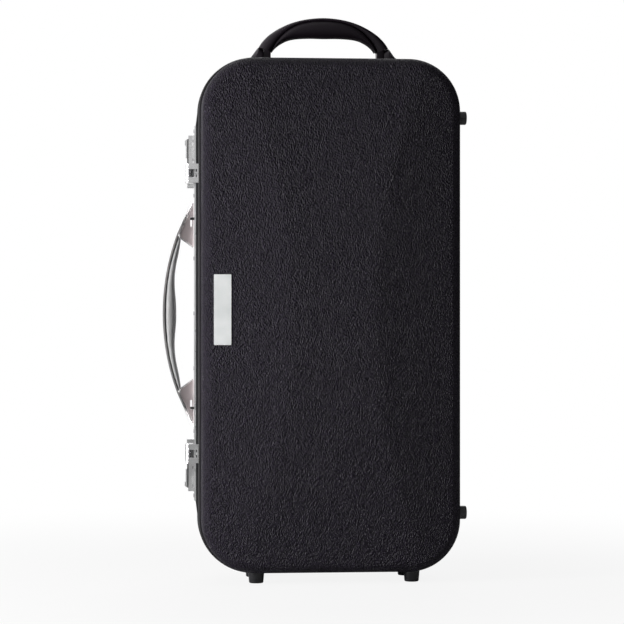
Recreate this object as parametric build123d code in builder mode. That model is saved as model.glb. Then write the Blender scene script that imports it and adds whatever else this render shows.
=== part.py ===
from build123d import *
import os

# Upright bassoon case: two moulded shells on edge hinges, slide locks and two carrying handles.
# All sizes are millimetres. The case stands on its bottom feet, +Z up, with the lid facing -Y,
# the locks and the carrying handle on the -X side and the hinges on the +X side.

# Overall sizes
BODY_WIDTH = 327.0
BODY_HEIGHT = 648.0
BODY_RADIUS = 66.5
LID_DEPTH = 72.0
BASE_DEPTH = 84.0
WALL = 3.0

# Lid form: a flat middle that falls away to each side and to the top and bottom
LID_MIDDLE = 51.0
LID_SIDE_FALL = 0.16
LID_CROWN = 4650.0
LID_COLLAR = 18.0
LID_DRAFT = 2.0
LID_SHOULDER = 12.0
LID_SHOULDER_DRAFT = 38.0
LID_FACING = 0.9
LID_EDGE = 3.0
BASE_COLLAR = 24.0
BASE_DRAFT = 3.0
BASE_EDGE = 10.0

# Rims, seal and lining
PARTING_GAP = 0.5
RIM_SEAT = 4.0
RIM_LEDGE = 2.0
LID_RIM_DEPTH = 10.0
LID_LIP = 2.8
BASE_RIM_DEPTH = 24.0
BASE_LIP = 3.5
GASKET_WIDTH = 2.2
GASKET_SEAT = 2.0
GASKET_RISE = 0.6
GASKET_INSET = 1.6
LINING = 5.0

# Foam insert, with bays for the joints of the instrument
INSERT_FLOOR = 12.0
INSERT_WINDOW_WIDTH = 302.0
INSERT_WINDOW_HEIGHT = 626.0
INSERT_WINDOW_RADIUS = 51.5
DIVIDER_DROP = 20.0
DIVIDER = 6.0
WING_BAY_WIDTH = 60.0
LONG_BAY_WIDTH = 56.0
BELL_BAY_WIDTH = 72.0
WING_BAY_LENGTH = 520.0
BOOT_BAY_LENGTH = 460.0
BELL_BAY_LENGTH = 372.0

# Side rail, which carries the locks and the handle
RAIL_SEAT = 2.2
RAIL_THICKNESS = 1.8
RAIL_WIDTH = 22.0
RAIL_LIFT = 2.5
RAIL_LENGTH = 476.0
RAIL_SEAT_END = 18.0
RAIL_SCREWS_Z = (-232.0, -150.0, -70.0, 0.0, 70.0, 150.0, 232.0)
SCREW_SHANK = 1.3
SCREW_HEAD = 2.5
SCREW_HEAD_HEIGHT = 1.0
SCREW_GRIP = 2.4

# Hinges, let into the rims so that they don't stand out
HINGE_LENGTH = 60.0
HINGE_PITCH = 200.0
HINGE_LEAF = 1.5
HINGE_PIN = 1.0
HINGE_KNUCKLE = 2.0
HINGE_GAP = 0.4
HINGE_PARTS = 5
HINGE_AXIS_OUT = 1.7
HINGE_AXIS_Y = 2.3
HINGE_ROOM = 0.3
HINGE_SWEEP = 2.2
BASE_LEAF_WIDTH = 20.0
LID_LEAF_WIDTH = 9.5
HINGE_SCREW_PITCH = 20.0
BASE_HINGE_SCREW_Y = 12.5
LID_HINGE_SCREW_Y = -6.2
BASE_HINGE_SCREW_LENGTH = 3.4
LID_HINGE_SCREW_LENGTH = 2.7
PIN_PLAY = 0.05

# Feet
BOTTOM_FOOT_HEIGHT = 12.5
BOTTOM_FOOT_TOP = 10.5
BOTTOM_FEET_X = (-94.5, 102.5)
BOTTOM_FOOT_TAPER = 5.0
FOOT_EDGE = 1.5
SIDE_FOOT_HEIGHT = 8.7
SIDE_FOOT_RADIUS = 8.4
SIDE_FEET_Z = 250.0
LID_FEET_Y = -30.0
BASE_BOTTOM_FEET_Y = 36.0
BASE_SIDE_FEET_Y = 46.0
FOOT_SCREW = 1.9
FOOT_SCREW_HEAD = 3.8
FOOT_SCREW_RECESS = 5.0
FOOT_SCREW_HEAD_HEIGHT = 2.2
FOOT_ROOT = 5.0

# Name plate, left bare
PLATE_WIDTH = 21.8
PLATE_HEIGHT = 88.0
PLATE_THICKNESS = 1.0
PLATE_RADIUS = 1.0
PLATE_X = -138.0
PLATE_Z = 7.1

# Locks, measured outward from the face of the rail and away from the case's middle
LOCK_NEAR = 160.0
LOCK_FAR = 226.0
LOCK_HASP_NEAR = 165.5
LOCK_HASP_FAR = 189.5
LOCK_MID_Y = 12.0
LOCK_WIDTH = 21.0
LOCK_PLATE = 1.5
LOCK_HOUSING = 7.6
LOCK_HOUSING_WIDTH = 14.0
LOCK_CATCH = 9.0
LOCK_CATCH_FAR_Y = 18.2
LOCK_END = 9.1
LOCK_END_ROOM = 0.5
LOCK_END_GROW = 2.0
SLIDER_NEAR = 198.0
SLIDER_FAR = 221.0
SLIDER_LOW = 9.1
SLIDER_HIGH = 10.7
SLIDER_TAB = 12.0
SLIDER_NECK = 4.0
HASP_PIN_OUT = 7.5
HASP_PIN_Y = -5.5
HASP_PIN = 1.5
HASP_KNUCKLE = 3.6
HASP_THICKNESS = 1.8
HASP_REACH = 26.0
HASP_LIP = 2.6
HASP_ROOM = 1.0
SLIDE_PLAY = 0.3
SLIDER_NECK_SETBACK = 2.0
SLIDER_NECK_LENGTH = 7.0
SLIDER_NOSE = 5.5
SLIDER_NOSE_ROOM = 1.3
SLIDER_RIB_NEAR = 7.0
SLIDER_RIB_FAR = 1.2
SLIDER_SETBACK = 1.0
SPRING_RADIUS = 1.8
SPRING_WIRE = 0.5
SPRING_ROOM = 0.1
HASP_WINDOW = 10.0
HASP_LEG = 2.0
HASP_LEG_START = 1.0
HASP_SLOPE = 4.3
LOCK_SCREW_ACROSS = 8.75
LOCK_SCREWS_Z = (196.0, 219.0)
LOCK_SCREW_HEAD = 1.6
LOCK_SCREW_SHANK = 1.0
BRACKET_RIVET_HEAD = 1.8
BRACKET_RIVET_ACROSS = 2.2
BRACKET_RIVET_LENGTH = 4.0

# Carrying handle on the side
HANDLE_Y = 12.0
HANDLE_TIP_OUT = 3.0
HANDLE_TIP_Z = 143.4
HANDLE_KNEE_OUT = 21.5
HANDLE_KNEE_Z = 102.0
HANDLE_REACH = 40.0
STRAP_THICKNESS = 2.0
STRAP_WIDTH = 19.0
FLANGE_THICKNESS = 1.6
BRACKET_THICKNESS = 3.4
BRACKET_LOW_Z = 83.0
BRACKET_CORNER_OUT = 18.3
BRACKET_CORNER_Z = 96.5
BRACKET_GAP = 1.4
LUG_ROOM = 0.5
PIVOT_OUT = 2.3
BRIDGE_OUT = 1.6
BRIDGE_WIDTH = 2.6
LUG_HOLE = 1.65
LUG_RADIUS = 2.85
LUG_LOW_Z = 119.0
LUG_HEIGHT = 3.2
LUG_FOOT = 2.4
SWING_NEAR = 1.0
SWING_WIDE = 20.0
SWING_HALF = 2.1
SWING_SLOPE = 0.56
STRAP_RIVETS_Z = (108.0, 118.0)
STRAP_RIVET = 1.5
SLOT_LOW_Z = 110.5
SLOT_WIDTH = 2.4
GRIP_END_Z = 93.0
GRIP_SWELL_Z = 42.0
GRIP_END_THICKNESS = 6.0
GRIP_SWELL_OUT = 25.0
GRIP_MID_OUT = 22.6
GRIP_WIDTH = 23.0
GRIP_SEAM = 0.5
GRIP_EDGE = 3.0

# Top handle, measured up from the top of the body
TOP_HANDLE_X = -3.0
TOP_HANDLE_Y = 42.0
TOP_ARCH_RADIUS = 113.0
TOP_ARCH_HEIGHT = 57.6
TOP_ARCH_WIDTH = 20.0
TOP_GRIP_RADIUS = 98.0
TOP_GRIP_TOP = 55.4
TOP_GRIP_REACH = 61.0
TOP_GRIP_LOW = 17.0
TOP_GRIP_FOOT = 66.8
TOP_GRIP_WIDTH = 26.0
TOP_OPENING = 68.5
TOP_FINGER_GAP = 31.3
TOP_FLAT = 35.0
TOP_OPENING_SIDE = 8.0
TOP_OPENING_BEND = 56.0
TOP_OPENING_RISE = 23.6
TOP_PIVOT = 8.5
TOP_EAR_RADIUS = 8.5
TOP_EAR_INNER = 78.4
TOP_TONGUE = 9.4
TOP_PIN = 2.5
TOP_SHOULDER = 9.1
TOP_TONGUE_RADIUS = 7.0
TOP_PIN_START = 69.5
TOP_PIN_END = 90.0
TOP_SCREW_X = 87.0
TOP_SCREW_PITCH = 10.0
TOP_SCREW_DROP = 1.6
TOP_SCREW_GRIP = 5.0

# Values that follow from those above
HALF_WIDTH = BODY_WIDTH / 2
HALF_HEIGHT = BODY_HEIGHT / 2
RAIL_BACK = HALF_WIDTH + BASE_LIP + RAIL_SEAT
RAIL_FACE = RAIL_BACK + RAIL_THICKNESS
HANDLE_OUT = RAIL_FACE + HANDLE_REACH
SIDE_FOOT_OUT = HALF_WIDTH + SIDE_FOOT_HEIGHT
HINGE_X = HALF_WIDTH + HINGE_AXIS_OUT
STRAP_SLOPE = (HANDLE_KNEE_OUT - HANDLE_TIP_OUT) / (HANDLE_TIP_Z - HANDLE_KNEE_Z)
CASE_X = (HANDLE_OUT - SIDE_FOOT_OUT) / 2
CASE_Y = (LID_DEPTH - BASE_DEPTH) / 2
CASE_Z = HALF_HEIGHT + BOTTOM_FOOT_HEIGHT

# Planes through the middle of the parting line. Sketches on the front plane have X and Z as their
# axes and rise towards the lid, those on the level plane have X and Y and rise with Z.
middle = (CASE_X, CASE_Y, CASE_Z)
front = Plane(origin=middle, x_dir=(1, 0, 0), z_dir=(0, -1, 0))
level = Plane(origin=middle, x_dir=(1, 0, 0), z_dir=(0, 0, 1))
right_side = Plane(origin=middle, x_dir=(0, 1, 0), z_dir=(1, 0, 0))

# The rail with its locks and handle sits a little above the body's middle
rail_middle = (CASE_X, CASE_Y, CASE_Z + RAIL_LIFT)
rail_front = Plane(origin=rail_middle, x_dir=(1, 0, 0), z_dir=(0, -1, 0))
rail_level = Plane(origin=rail_middle, x_dir=(1, 0, 0), z_dir=(0, 0, 1))
left_side = Plane(origin=rail_middle, x_dir=(0, -1, 0), z_dir=(-1, 0, 0))
SIDES = {"upper": 1, "lower": -1}

os.makedirs("parts", exist_ok=True)


def outline(grow):
    """Draw the body's rounded outline, grown outward by a margin."""
    RectangleRounded(BODY_WIDTH + 2 * grow, BODY_HEIGHT + 2 * grow, BODY_RADIUS + grow)


def lid_form(inset, start, edge=0.0):
    """Return the lid's outer form, or a like form inside it, as one solid block."""
    depth = LID_DEPTH - inset
    shoulder = LID_DEPTH - (HALF_WIDTH - LID_MIDDLE) * LID_SIDE_FALL - LID_SHOULDER
    draw_in = (shoulder - LID_COLLAR) * tan_degrees(LID_DRAFT)
    with BuildPart() as block:
        with BuildSketch(front.offset(start)):
            outline(-inset)
        extrude(amount=LID_COLLAR - start)
        with BuildSketch(front.offset(LID_COLLAR)):
            outline(-inset)
        extrude(amount=shoulder - LID_COLLAR, taper=LID_DRAFT)
        with BuildSketch(front.offset(shoulder)):
            outline(-inset - draw_in)
        extrude(amount=depth - shoulder, taper=LID_SHOULDER_DRAFT)
        with BuildSketch(level):
            with BuildLine():
                side_depth = depth - (BODY_WIDTH - LID_MIDDLE) * LID_SIDE_FALL
                Polyline((-BODY_WIDTH, 0), (-BODY_WIDTH, -side_depth), (-LID_MIDDLE, -depth),
                         (LID_MIDDLE, -depth), (BODY_WIDTH, -side_depth), (BODY_WIDTH, 0), close=True)
            make_face()
        extrude(amount=BODY_HEIGHT, both=True, mode=Mode.INTERSECT)
        with BuildSketch(right_side):
            with BuildLine():
                end_depth = depth - BODY_HEIGHT ** 2 / (2 * LID_CROWN)
                ThreePointArc((-end_depth, -BODY_HEIGHT), (-depth, 0), (-end_depth, BODY_HEIGHT))
                Polyline((-end_depth, BODY_HEIGHT), (0, BODY_HEIGHT), (0, -BODY_HEIGHT),
                         (-end_depth, -BODY_HEIGHT))
            make_face()
        extrude(amount=BODY_WIDTH, both=True, mode=Mode.INTERSECT)
        if edge:
            facing = block.faces().filter_by(lambda face: face.normal_at().Y < -LID_FACING)
            border = [side for side in facing.edges() if is_border(side, facing)]
            fillet(border, edge)
    return block


def outline_cut(grow):
    """Cut the body's rounded outline, grown by a margin, out of the sketch."""
    RectangleRounded(BODY_WIDTH + 2 * grow, BODY_HEIGHT + 2 * grow, BODY_RADIUS + grow, mode=Mode.SUBTRACT)


def hinge_notches():
    """Cut room for the knuckles, the leaves and the lid's swing into the base rim being built."""
    for hinge in (-1, 0, 1):
        plane = level.offset(hinge * HINGE_PITCH - HINGE_LENGTH / 2 - HINGE_GAP)
        length = HINGE_LENGTH + 2 * HINGE_GAP
        with BuildSketch(plane, mode=Mode.PRIVATE) as notch:
            with Locations((HINGE_X, HINGE_AXIS_Y)):
                Circle(HINGE_KNUCKLE + HINGE_ROOM)
        extrude(notch.sketch, amount=length, mode=Mode.SUBTRACT)
        bar(plane, length, HINGE_X, HINGE_X + HINGE_KNUCKLE + HINGE_SWEEP, 0, HINGE_AXIS_Y + HINGE_SWEEP,
            Mode.SUBTRACT)


def tan_degrees(angle):
    """Return the tangent of an angle in degrees."""
    return Vector(1, 0).rotate(Axis.Z, angle).Y / Vector(1, 0).rotate(Axis.Z, angle).X


def is_border(side, faces):
    """Tell whether an edge belongs to only one of the faces."""
    owners = [face for face in faces if any(side.center() == other.center() for other in face.edges())]
    return len(owners) == 1


def base_form(inset, start, end):
    """Return the base's outer form, or a like form inside it, between two depths."""
    with BuildPart() as block:
        with BuildSketch(front.offset(-start)):
            outline(-inset)
        extrude(amount=start - BASE_COLLAR)
        with BuildSketch(front.offset(-BASE_COLLAR)):
            outline(-inset)
        extrude(amount=BASE_COLLAR - end, taper=BASE_DRAFT)
    return block


def bar(plane, length, x_low, x_high, y_low, y_high, mode=Mode.ADD):
    """Extrude a rectangle, given by its edges, into the part being built."""
    with BuildSketch(plane, mode=Mode.PRIVATE) as profile:
        with Locations(((x_low + x_high) / 2, (y_low + y_high) / 2)):
            Rectangle(x_high - x_low, y_high - y_low)
    extrude(profile.sketch, amount=length, mode=mode)


def pan_screws(plane, places, head, shank, grip):
    """Return screws whose heads sit on a plane and whose shanks run down from it."""
    with BuildPart() as screws:
        with BuildSketch(plane):
            with Locations(*places):
                Circle(head)
        extrude(amount=SCREW_HEAD_HEIGHT)
        with BuildSketch(plane):
            with Locations(*places):
                Circle(shank)
        extrude(amount=-grip)
    return screws


def stretch(side, near, far):
    """Return the plane and length of a stretch of height, above or below the rail's middle."""
    return rail_level.offset(min(side * near, side * far)), far - near


# Screws are made first, because the pieces that they hold are drilled by them
rail_screw_places = [(-LOCK_MID_Y, height) for height in RAIL_SCREWS_Z]
rail_screws = pan_screws(left_side.offset(RAIL_FACE), rail_screw_places, SCREW_HEAD, SCREW_SHANK,
                         RAIL_THICKNESS + RAIL_SEAT + SCREW_GRIP)
rail_screws.part.label = "rail_screws"
export_step(rail_screws.part, "parts/rail_screws.step")

lock_screw_places = [(-LOCK_MID_Y + across, side * height) for side in SIDES.values()
                     for height in LOCK_SCREWS_Z for across in (-LOCK_SCREW_ACROSS, LOCK_SCREW_ACROSS)]
lock_screws = pan_screws(left_side.offset(RAIL_FACE + LOCK_PLATE), lock_screw_places, LOCK_SCREW_HEAD,
                         LOCK_SCREW_SHANK, LOCK_PLATE + SCREW_GRIP)
lock_screws.part.label = "lock_screws"
export_step(lock_screws.part, "parts/lock_screws.step")

hinge_screw_heights = [hinge * HINGE_PITCH + screw * HINGE_SCREW_PITCH
                       for hinge in (-1, 0, 1) for screw in (-1, 0, 1)]
base_hinge_screws = pan_screws(right_side.offset(HALF_WIDTH + BASE_LIP - SCREW_HEAD_HEIGHT),
                               [(BASE_HINGE_SCREW_Y, height) for height in hinge_screw_heights],
                               SCREW_HEAD, SCREW_SHANK, BASE_HINGE_SCREW_LENGTH - SCREW_HEAD_HEIGHT)
base_hinge_screws.part.label = "base_hinge_screws"
export_step(base_hinge_screws.part, "parts/base_hinge_screws.step")

lid_hinge_screws = pan_screws(right_side.offset(HALF_WIDTH + LID_LIP - SCREW_HEAD_HEIGHT),
                              [(LID_HINGE_SCREW_Y, height) for height in hinge_screw_heights],
                              SCREW_HEAD, SCREW_SHANK, LID_HINGE_SCREW_LENGTH - SCREW_HEAD_HEIGHT)
lid_hinge_screws.part.label = "lid_hinge_screws"
export_step(lid_hinge_screws.part, "parts/lid_hinge_screws.step")

bracket_rivets = pan_screws(left_side.offset(HALF_WIDTH + LID_LIP + HASP_LEG),
                            [(-HASP_PIN_Y + across, side * (LOCK_HASP_NEAR + LOCK_HASP_FAR) / 2)
                             for side in SIDES.values()
                             for across in (-BRACKET_RIVET_ACROSS, BRACKET_RIVET_ACROSS)],
                            BRACKET_RIVET_HEAD, LOCK_SCREW_SHANK, BRACKET_RIVET_LENGTH)
bracket_rivets.part.label = "hasp_bracket_rivets"
export_step(bracket_rivets.part, "parts/hasp_bracket_rivets.step")


def foot_screws(bottom_y, side_y):
    """Return the screws in the bottom and side feet of one shell."""
    with BuildPart() as screws:
        for plane, places, height in (
            (level, [(across, bottom_y) for across in BOTTOM_FEET_X],
             -HALF_HEIGHT - BOTTOM_FOOT_HEIGHT + FOOT_SCREW_RECESS),
            (right_side, [(side_y, -SIDE_FEET_Z), (side_y, SIDE_FEET_Z)],
             HALF_WIDTH + SIDE_FOOT_HEIGHT - FOOT_SCREW_RECESS),
        ):
            inward = 1 if height < 0 else -1
            with BuildSketch(plane.offset(height)):
                with Locations(*places):
                    Circle(FOOT_SCREW_HEAD)
            extrude(amount=-inward * FOOT_SCREW_HEAD_HEIGHT)
            with BuildSketch(plane.offset(height)):
                with Locations(*places):
                    Circle(FOOT_SCREW)
            reach = HALF_HEIGHT if height < 0 else HALF_WIDTH
            extrude(amount=inward * (abs(height) - reach + WALL))
    return screws


lid_foot_screws = foot_screws(LID_FEET_Y, LID_FEET_Y)
lid_foot_screws.part.label = "lid_foot_screws"
export_step(lid_foot_screws.part, "parts/lid_foot_screws.step")

base_foot_screws = foot_screws(BASE_BOTTOM_FEET_Y, BASE_SIDE_FEET_Y)
base_foot_screws.part.label = "base_foot_screws"
export_step(base_foot_screws.part, "parts/base_foot_screws.step")

# Top handle screws run up from inside the base into the two ears
top_screw_places = [(TOP_HANDLE_X + side * TOP_SCREW_X, TOP_HANDLE_Y + across)
                    for side in (-1, 1) for across in (-TOP_SCREW_PITCH / 2, TOP_SCREW_PITCH / 2)]
with BuildPart() as top_handle_screws:
    with BuildSketch(level.offset(HALF_HEIGHT - WALL - TOP_SCREW_DROP)):
        with Locations(*top_screw_places):
            Circle(SCREW_HEAD)
    extrude(amount=-SCREW_HEAD_HEIGHT)
    with BuildSketch(level.offset(HALF_HEIGHT - WALL - TOP_SCREW_DROP)):
        with Locations(*top_screw_places):
            Circle(SCREW_SHANK)
    extrude(amount=WALL + TOP_SCREW_DROP + TOP_SCREW_GRIP)
top_handle_screws.part.label = "top_handle_screws"
export_step(top_handle_screws.part, "parts/top_handle_screws.step")


# Hinges: five knuckles on one pin, three of them on the base leaf. The rims are cut by them.
def hinge_leaves(lip, start, width, knuckles, bore_radius, screws):
    """Return the three leaves of one shell, each with its own knuckles rolled round the pin."""
    outer = HALF_WIDTH + lip
    knuckle_length = HINGE_LENGTH / HINGE_PARTS
    with BuildPart() as leaves:
        for hinge in (-1, 0, 1):
            low = hinge * HINGE_PITCH - HINGE_LENGTH / 2
            bar(level.offset(low), HINGE_LENGTH, outer - HINGE_LEAF, outer,
                min(start, width), max(start, width))
            for knuckle in knuckles:
                first = low + knuckle * knuckle_length + HINGE_GAP / 2
                length = knuckle_length - HINGE_GAP
                bar(level.offset(first), length, outer - HINGE_LEAF, outer,
                    min(HINGE_AXIS_Y, start), max(HINGE_AXIS_Y, start))
                with BuildSketch(level.offset(first), mode=Mode.PRIVATE) as barrel:
                    with Locations((HINGE_X, HINGE_AXIS_Y)):
                        Circle(HINGE_KNUCKLE)
                extrude(barrel.sketch, amount=length)
            with BuildSketch(level.offset(low), mode=Mode.PRIVATE) as bore:
                with Locations((HINGE_X, HINGE_AXIS_Y)):
                    Circle(bore_radius)
            extrude(bore.sketch, amount=HINGE_LENGTH, mode=Mode.SUBTRACT)
        add(screws.part, mode=Mode.SUBTRACT)
    return leaves


base_hinge_leaves = hinge_leaves(BASE_LIP, HINGE_AXIS_Y + HINGE_SWEEP, BASE_LEAF_WIDTH, (0, 2, 4),
                                 HINGE_PIN, base_hinge_screws)
base_hinge_leaves.part.label = "base_hinge_leaves"
export_step(base_hinge_leaves.part, "parts/base_hinge_leaves.step")

lid_hinge_leaves = hinge_leaves(LID_LIP, -PARTING_GAP, -LID_LEAF_WIDTH, (1, 3), HINGE_PIN + PIN_PLAY,
                                lid_hinge_screws)
lid_hinge_leaves.part.label = "lid_hinge_leaves"
export_step(lid_hinge_leaves.part, "parts/lid_hinge_leaves.step")

with BuildPart() as hinge_pins:
    for hinge in (-1, 0, 1):
        with BuildSketch(level.offset(hinge * HINGE_PITCH - HINGE_LENGTH / 2)):
            with Locations((HINGE_X, HINGE_AXIS_Y)):
                Circle(HINGE_PIN)
        extrude(amount=HINGE_LENGTH)
hinge_pins.part.label = "hinge_pins"
export_step(hinge_pins.part, "parts/hinge_pins.step")

# Lid: shell, rim and lining
lid_outer = lid_form(0.0, RIM_SEAT, LID_EDGE)
lid_inner = lid_form(WALL, RIM_SEAT)
with BuildPart() as lid_shell:
    add(lid_outer.part)
    add(lid_inner.part, mode=Mode.SUBTRACT)
    add(lid_foot_screws.part, mode=Mode.SUBTRACT)
lid_shell.part.label = "lid_shell"
export_step(lid_shell.part, "parts/lid_shell.step")

with BuildPart() as lid_lining:
    add(lid_inner.part)
    add(lid_form(WALL + LINING, RIM_SEAT).part, mode=Mode.SUBTRACT)
lid_lining.part.label = "lid_lining"
export_step(lid_lining.part, "parts/lid_lining.step")

with BuildPart() as lid_rim:
    with BuildSketch(front.offset(PARTING_GAP)):
        outline(LID_LIP)
        outline_cut(-WALL - RIM_LEDGE)
    extrude(amount=LID_RIM_DEPTH - PARTING_GAP)
    with BuildSketch(front.offset(RIM_SEAT)):
        outline(0.0)
    extrude(amount=LID_RIM_DEPTH, mode=Mode.SUBTRACT)
    add(lid_hinge_leaves.part, mode=Mode.SUBTRACT)
    add(lid_hinge_screws.part, mode=Mode.SUBTRACT)
    add(bracket_rivets.part, mode=Mode.SUBTRACT)
lid_rim.part.label = "lid_rim"
export_step(lid_rim.part, "parts/lid_rim.step")

# Base: shell, rim and seal
base_inner = base_form(WALL, RIM_SEAT, BASE_DEPTH - WALL)
base_outer = base_form(0.0, RIM_SEAT, BASE_DEPTH)
with BuildPart() as base_shell:
    add(base_outer.part)
    fillet(base_shell.faces().sort_by(Axis.Y)[-1].edges(), BASE_EDGE)
    add(base_inner.part, mode=Mode.SUBTRACT)
    add(base_foot_screws.part, mode=Mode.SUBTRACT)
    add(top_handle_screws.part, mode=Mode.SUBTRACT)
base_shell.part.label = "base_shell"
export_step(base_shell.part, "parts/base_shell.step")

with BuildPart() as gasket:
    with BuildSketch(front.offset(-PARTING_GAP - GASKET_SEAT)):
        outline(-GASKET_INSET)
        outline_cut(-GASKET_INSET - GASKET_WIDTH)
    extrude(amount=GASKET_SEAT + GASKET_RISE)
gasket.part.label = "gasket"
export_step(gasket.part, "parts/gasket.step")

with BuildPart() as base_rim:
    with BuildSketch(front.offset(-PARTING_GAP)):
        outline(BASE_LIP)
        outline_cut(-WALL - RIM_LEDGE)
    extrude(amount=PARTING_GAP - BASE_RIM_DEPTH)
    with BuildSketch(front.offset(-RIM_SEAT)):
        outline(0.0)
    extrude(amount=-BASE_RIM_DEPTH, mode=Mode.SUBTRACT)
    add(gasket.part, mode=Mode.SUBTRACT)
    hinge_notches()
    add(base_hinge_leaves.part, mode=Mode.SUBTRACT)
    add(rail_screws.part, mode=Mode.SUBTRACT)
    add(base_hinge_screws.part, mode=Mode.SUBTRACT)
base_rim.part.label = "base_rim"
export_step(base_rim.part, "parts/base_rim.step")


# Feet, cut to sit on the shells and counterbored for their screws
def shell_feet(bottom_y, side_y, shell, screws):
    """Return the tapered bottom feet and the side feet of one shell, as two groups."""
    with BuildPart() as bottom:
        with BuildSketch(level.offset(-HALF_HEIGHT + FOOT_ROOT)):
            with Locations(*[(across, bottom_y) for across in BOTTOM_FEET_X]):
                Circle(BOTTOM_FOOT_TOP)
        extrude(amount=-FOOT_ROOT - BOTTOM_FOOT_HEIGHT, taper=BOTTOM_FOOT_TAPER)
        fillet(bottom.faces().sort_by(Axis.Z)[:2].edges(), FOOT_EDGE)
        with BuildSketch(level.offset(-HALF_HEIGHT - BOTTOM_FOOT_HEIGHT)):
            with Locations(*[(across, bottom_y) for across in BOTTOM_FEET_X]):
                Circle(FOOT_SCREW_HEAD)
        extrude(amount=FOOT_SCREW_RECESS, mode=Mode.SUBTRACT)
        add(shell.part, mode=Mode.SUBTRACT)
        add(screws.part, mode=Mode.SUBTRACT)
    with BuildPart() as side:
        with BuildSketch(right_side.offset(HALF_WIDTH - FOOT_ROOT)):
            with Locations((side_y, -SIDE_FEET_Z), (side_y, SIDE_FEET_Z)):
                Circle(SIDE_FOOT_RADIUS)
        extrude(amount=FOOT_ROOT + SIDE_FOOT_HEIGHT)
        fillet(side.faces().sort_by(Axis.X)[-2:].edges(), FOOT_EDGE)
        with BuildSketch(right_side.offset(HALF_WIDTH + SIDE_FOOT_HEIGHT)):
            with Locations((side_y, -SIDE_FEET_Z), (side_y, SIDE_FEET_Z)):
                Circle(FOOT_SCREW_HEAD)
        extrude(amount=-FOOT_SCREW_RECESS, mode=Mode.SUBTRACT)
        add(shell.part, mode=Mode.SUBTRACT)
        add(screws.part, mode=Mode.SUBTRACT)
    return bottom, side


lid_bottom_feet, lid_side_feet = shell_feet(LID_FEET_Y, LID_FEET_Y, lid_outer, lid_foot_screws)
lid_bottom_feet.part.label = "lid_bottom_feet"
export_step(lid_bottom_feet.part, "parts/lid_bottom_feet.step")
lid_side_feet.part.label = "lid_side_feet"
export_step(lid_side_feet.part, "parts/lid_side_feet.step")

base_bottom_feet, base_side_feet = shell_feet(BASE_BOTTOM_FEET_Y, BASE_SIDE_FEET_Y, base_outer,
                                              base_foot_screws)
base_bottom_feet.part.label = "base_bottom_feet"
export_step(base_bottom_feet.part, "parts/base_bottom_feet.step")
base_side_feet.part.label = "base_side_feet"
export_step(base_side_feet.part, "parts/base_side_feet.step")

# Name plate, bare, on the side panel of the lid that falls away to the left
plate_depth = LID_DEPTH - (-PLATE_X - LID_MIDDLE) * LID_SIDE_FALL
plate_plane = Plane(origin=front.from_local_coords((PLATE_X, PLATE_Z, plate_depth)),
                    x_dir=(1, -LID_SIDE_FALL, 0), z_dir=(-LID_SIDE_FALL, -1, 0))
with BuildPart() as name_plate:
    with BuildSketch(plate_plane):
        RectangleRounded(PLATE_WIDTH, PLATE_HEIGHT, PLATE_RADIUS)
    extrude(amount=PLATE_THICKNESS)
name_plate.part.label = "name_plate"
export_step(name_plate.part, "parts/name_plate.step")

# Foam insert: a floor pad, a frame round the window, dividers and end blocks
insert_back = BASE_DEPTH - WALL - INSERT_FLOOR
with BuildPart() as foam_floor:
    add(base_inner.part)
    with BuildSketch(front.offset(-insert_back)):
        Rectangle(BODY_WIDTH, BODY_HEIGHT)
    extrude(amount=insert_back, mode=Mode.SUBTRACT)
foam_floor.part.label = "foam_floor"
export_step(foam_floor.part, "parts/foam_floor.step")

with BuildPart() as foam_frame:
    add(base_inner.part)
    add(foam_floor.part, mode=Mode.SUBTRACT)
    with BuildSketch(front):
        RectangleRounded(INSERT_WINDOW_WIDTH, INSERT_WINDOW_HEIGHT, INSERT_WINDOW_RADIUS)
    extrude(amount=-insert_back, mode=Mode.SUBTRACT)
    add(top_handle_screws.part, mode=Mode.SUBTRACT)
foam_frame.part.label = "foam_frame"
export_step(foam_frame.part, "parts/foam_frame.step")

window_left = -INSERT_WINDOW_WIDTH / 2
window_top = INSERT_WINDOW_HEIGHT / 2
long_bay_left = window_left + WING_BAY_WIDTH + DIVIDER
bell_bay_left = long_bay_left + LONG_BAY_WIDTH + DIVIDER
boot_bay_left = bell_bay_left + BELL_BAY_WIDTH + DIVIDER
bell_bay_top = BELL_BAY_LENGTH - window_top
foam_blocks = {
    "wing_divider": (long_bay_left - DIVIDER, long_bay_left, -window_top, window_top),
    "bell_divider": (bell_bay_left - DIVIDER, bell_bay_left, -window_top, window_top),
    "boot_divider": (boot_bay_left - DIVIDER, boot_bay_left, -window_top, window_top),
    "wing_block": (window_left, long_bay_left - DIVIDER, -window_top, window_top - WING_BAY_LENGTH),
    "boot_block": (boot_bay_left, -window_left, BOOT_BAY_LENGTH - window_top, window_top),
    "accessory_wall": (bell_bay_left, boot_bay_left - DIVIDER, bell_bay_top, bell_bay_top + DIVIDER),
}
for name, (x_low, x_high, z_low, z_high) in foam_blocks.items():
    with BuildPart() as block:
        with BuildSketch(front.offset(-DIVIDER_DROP)):
            RectangleRounded(INSERT_WINDOW_WIDTH, INSERT_WINDOW_HEIGHT, INSERT_WINDOW_RADIUS)
            with Locations(((x_low + x_high) / 2, (z_low + z_high) / 2)):
                Rectangle(x_high - x_low, z_high - z_low, mode=Mode.INTERSECT)
        extrude(amount=DIVIDER_DROP - insert_back)
    block.part.label = name
    export_step(block.part, f"parts/{name}.step")

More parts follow.
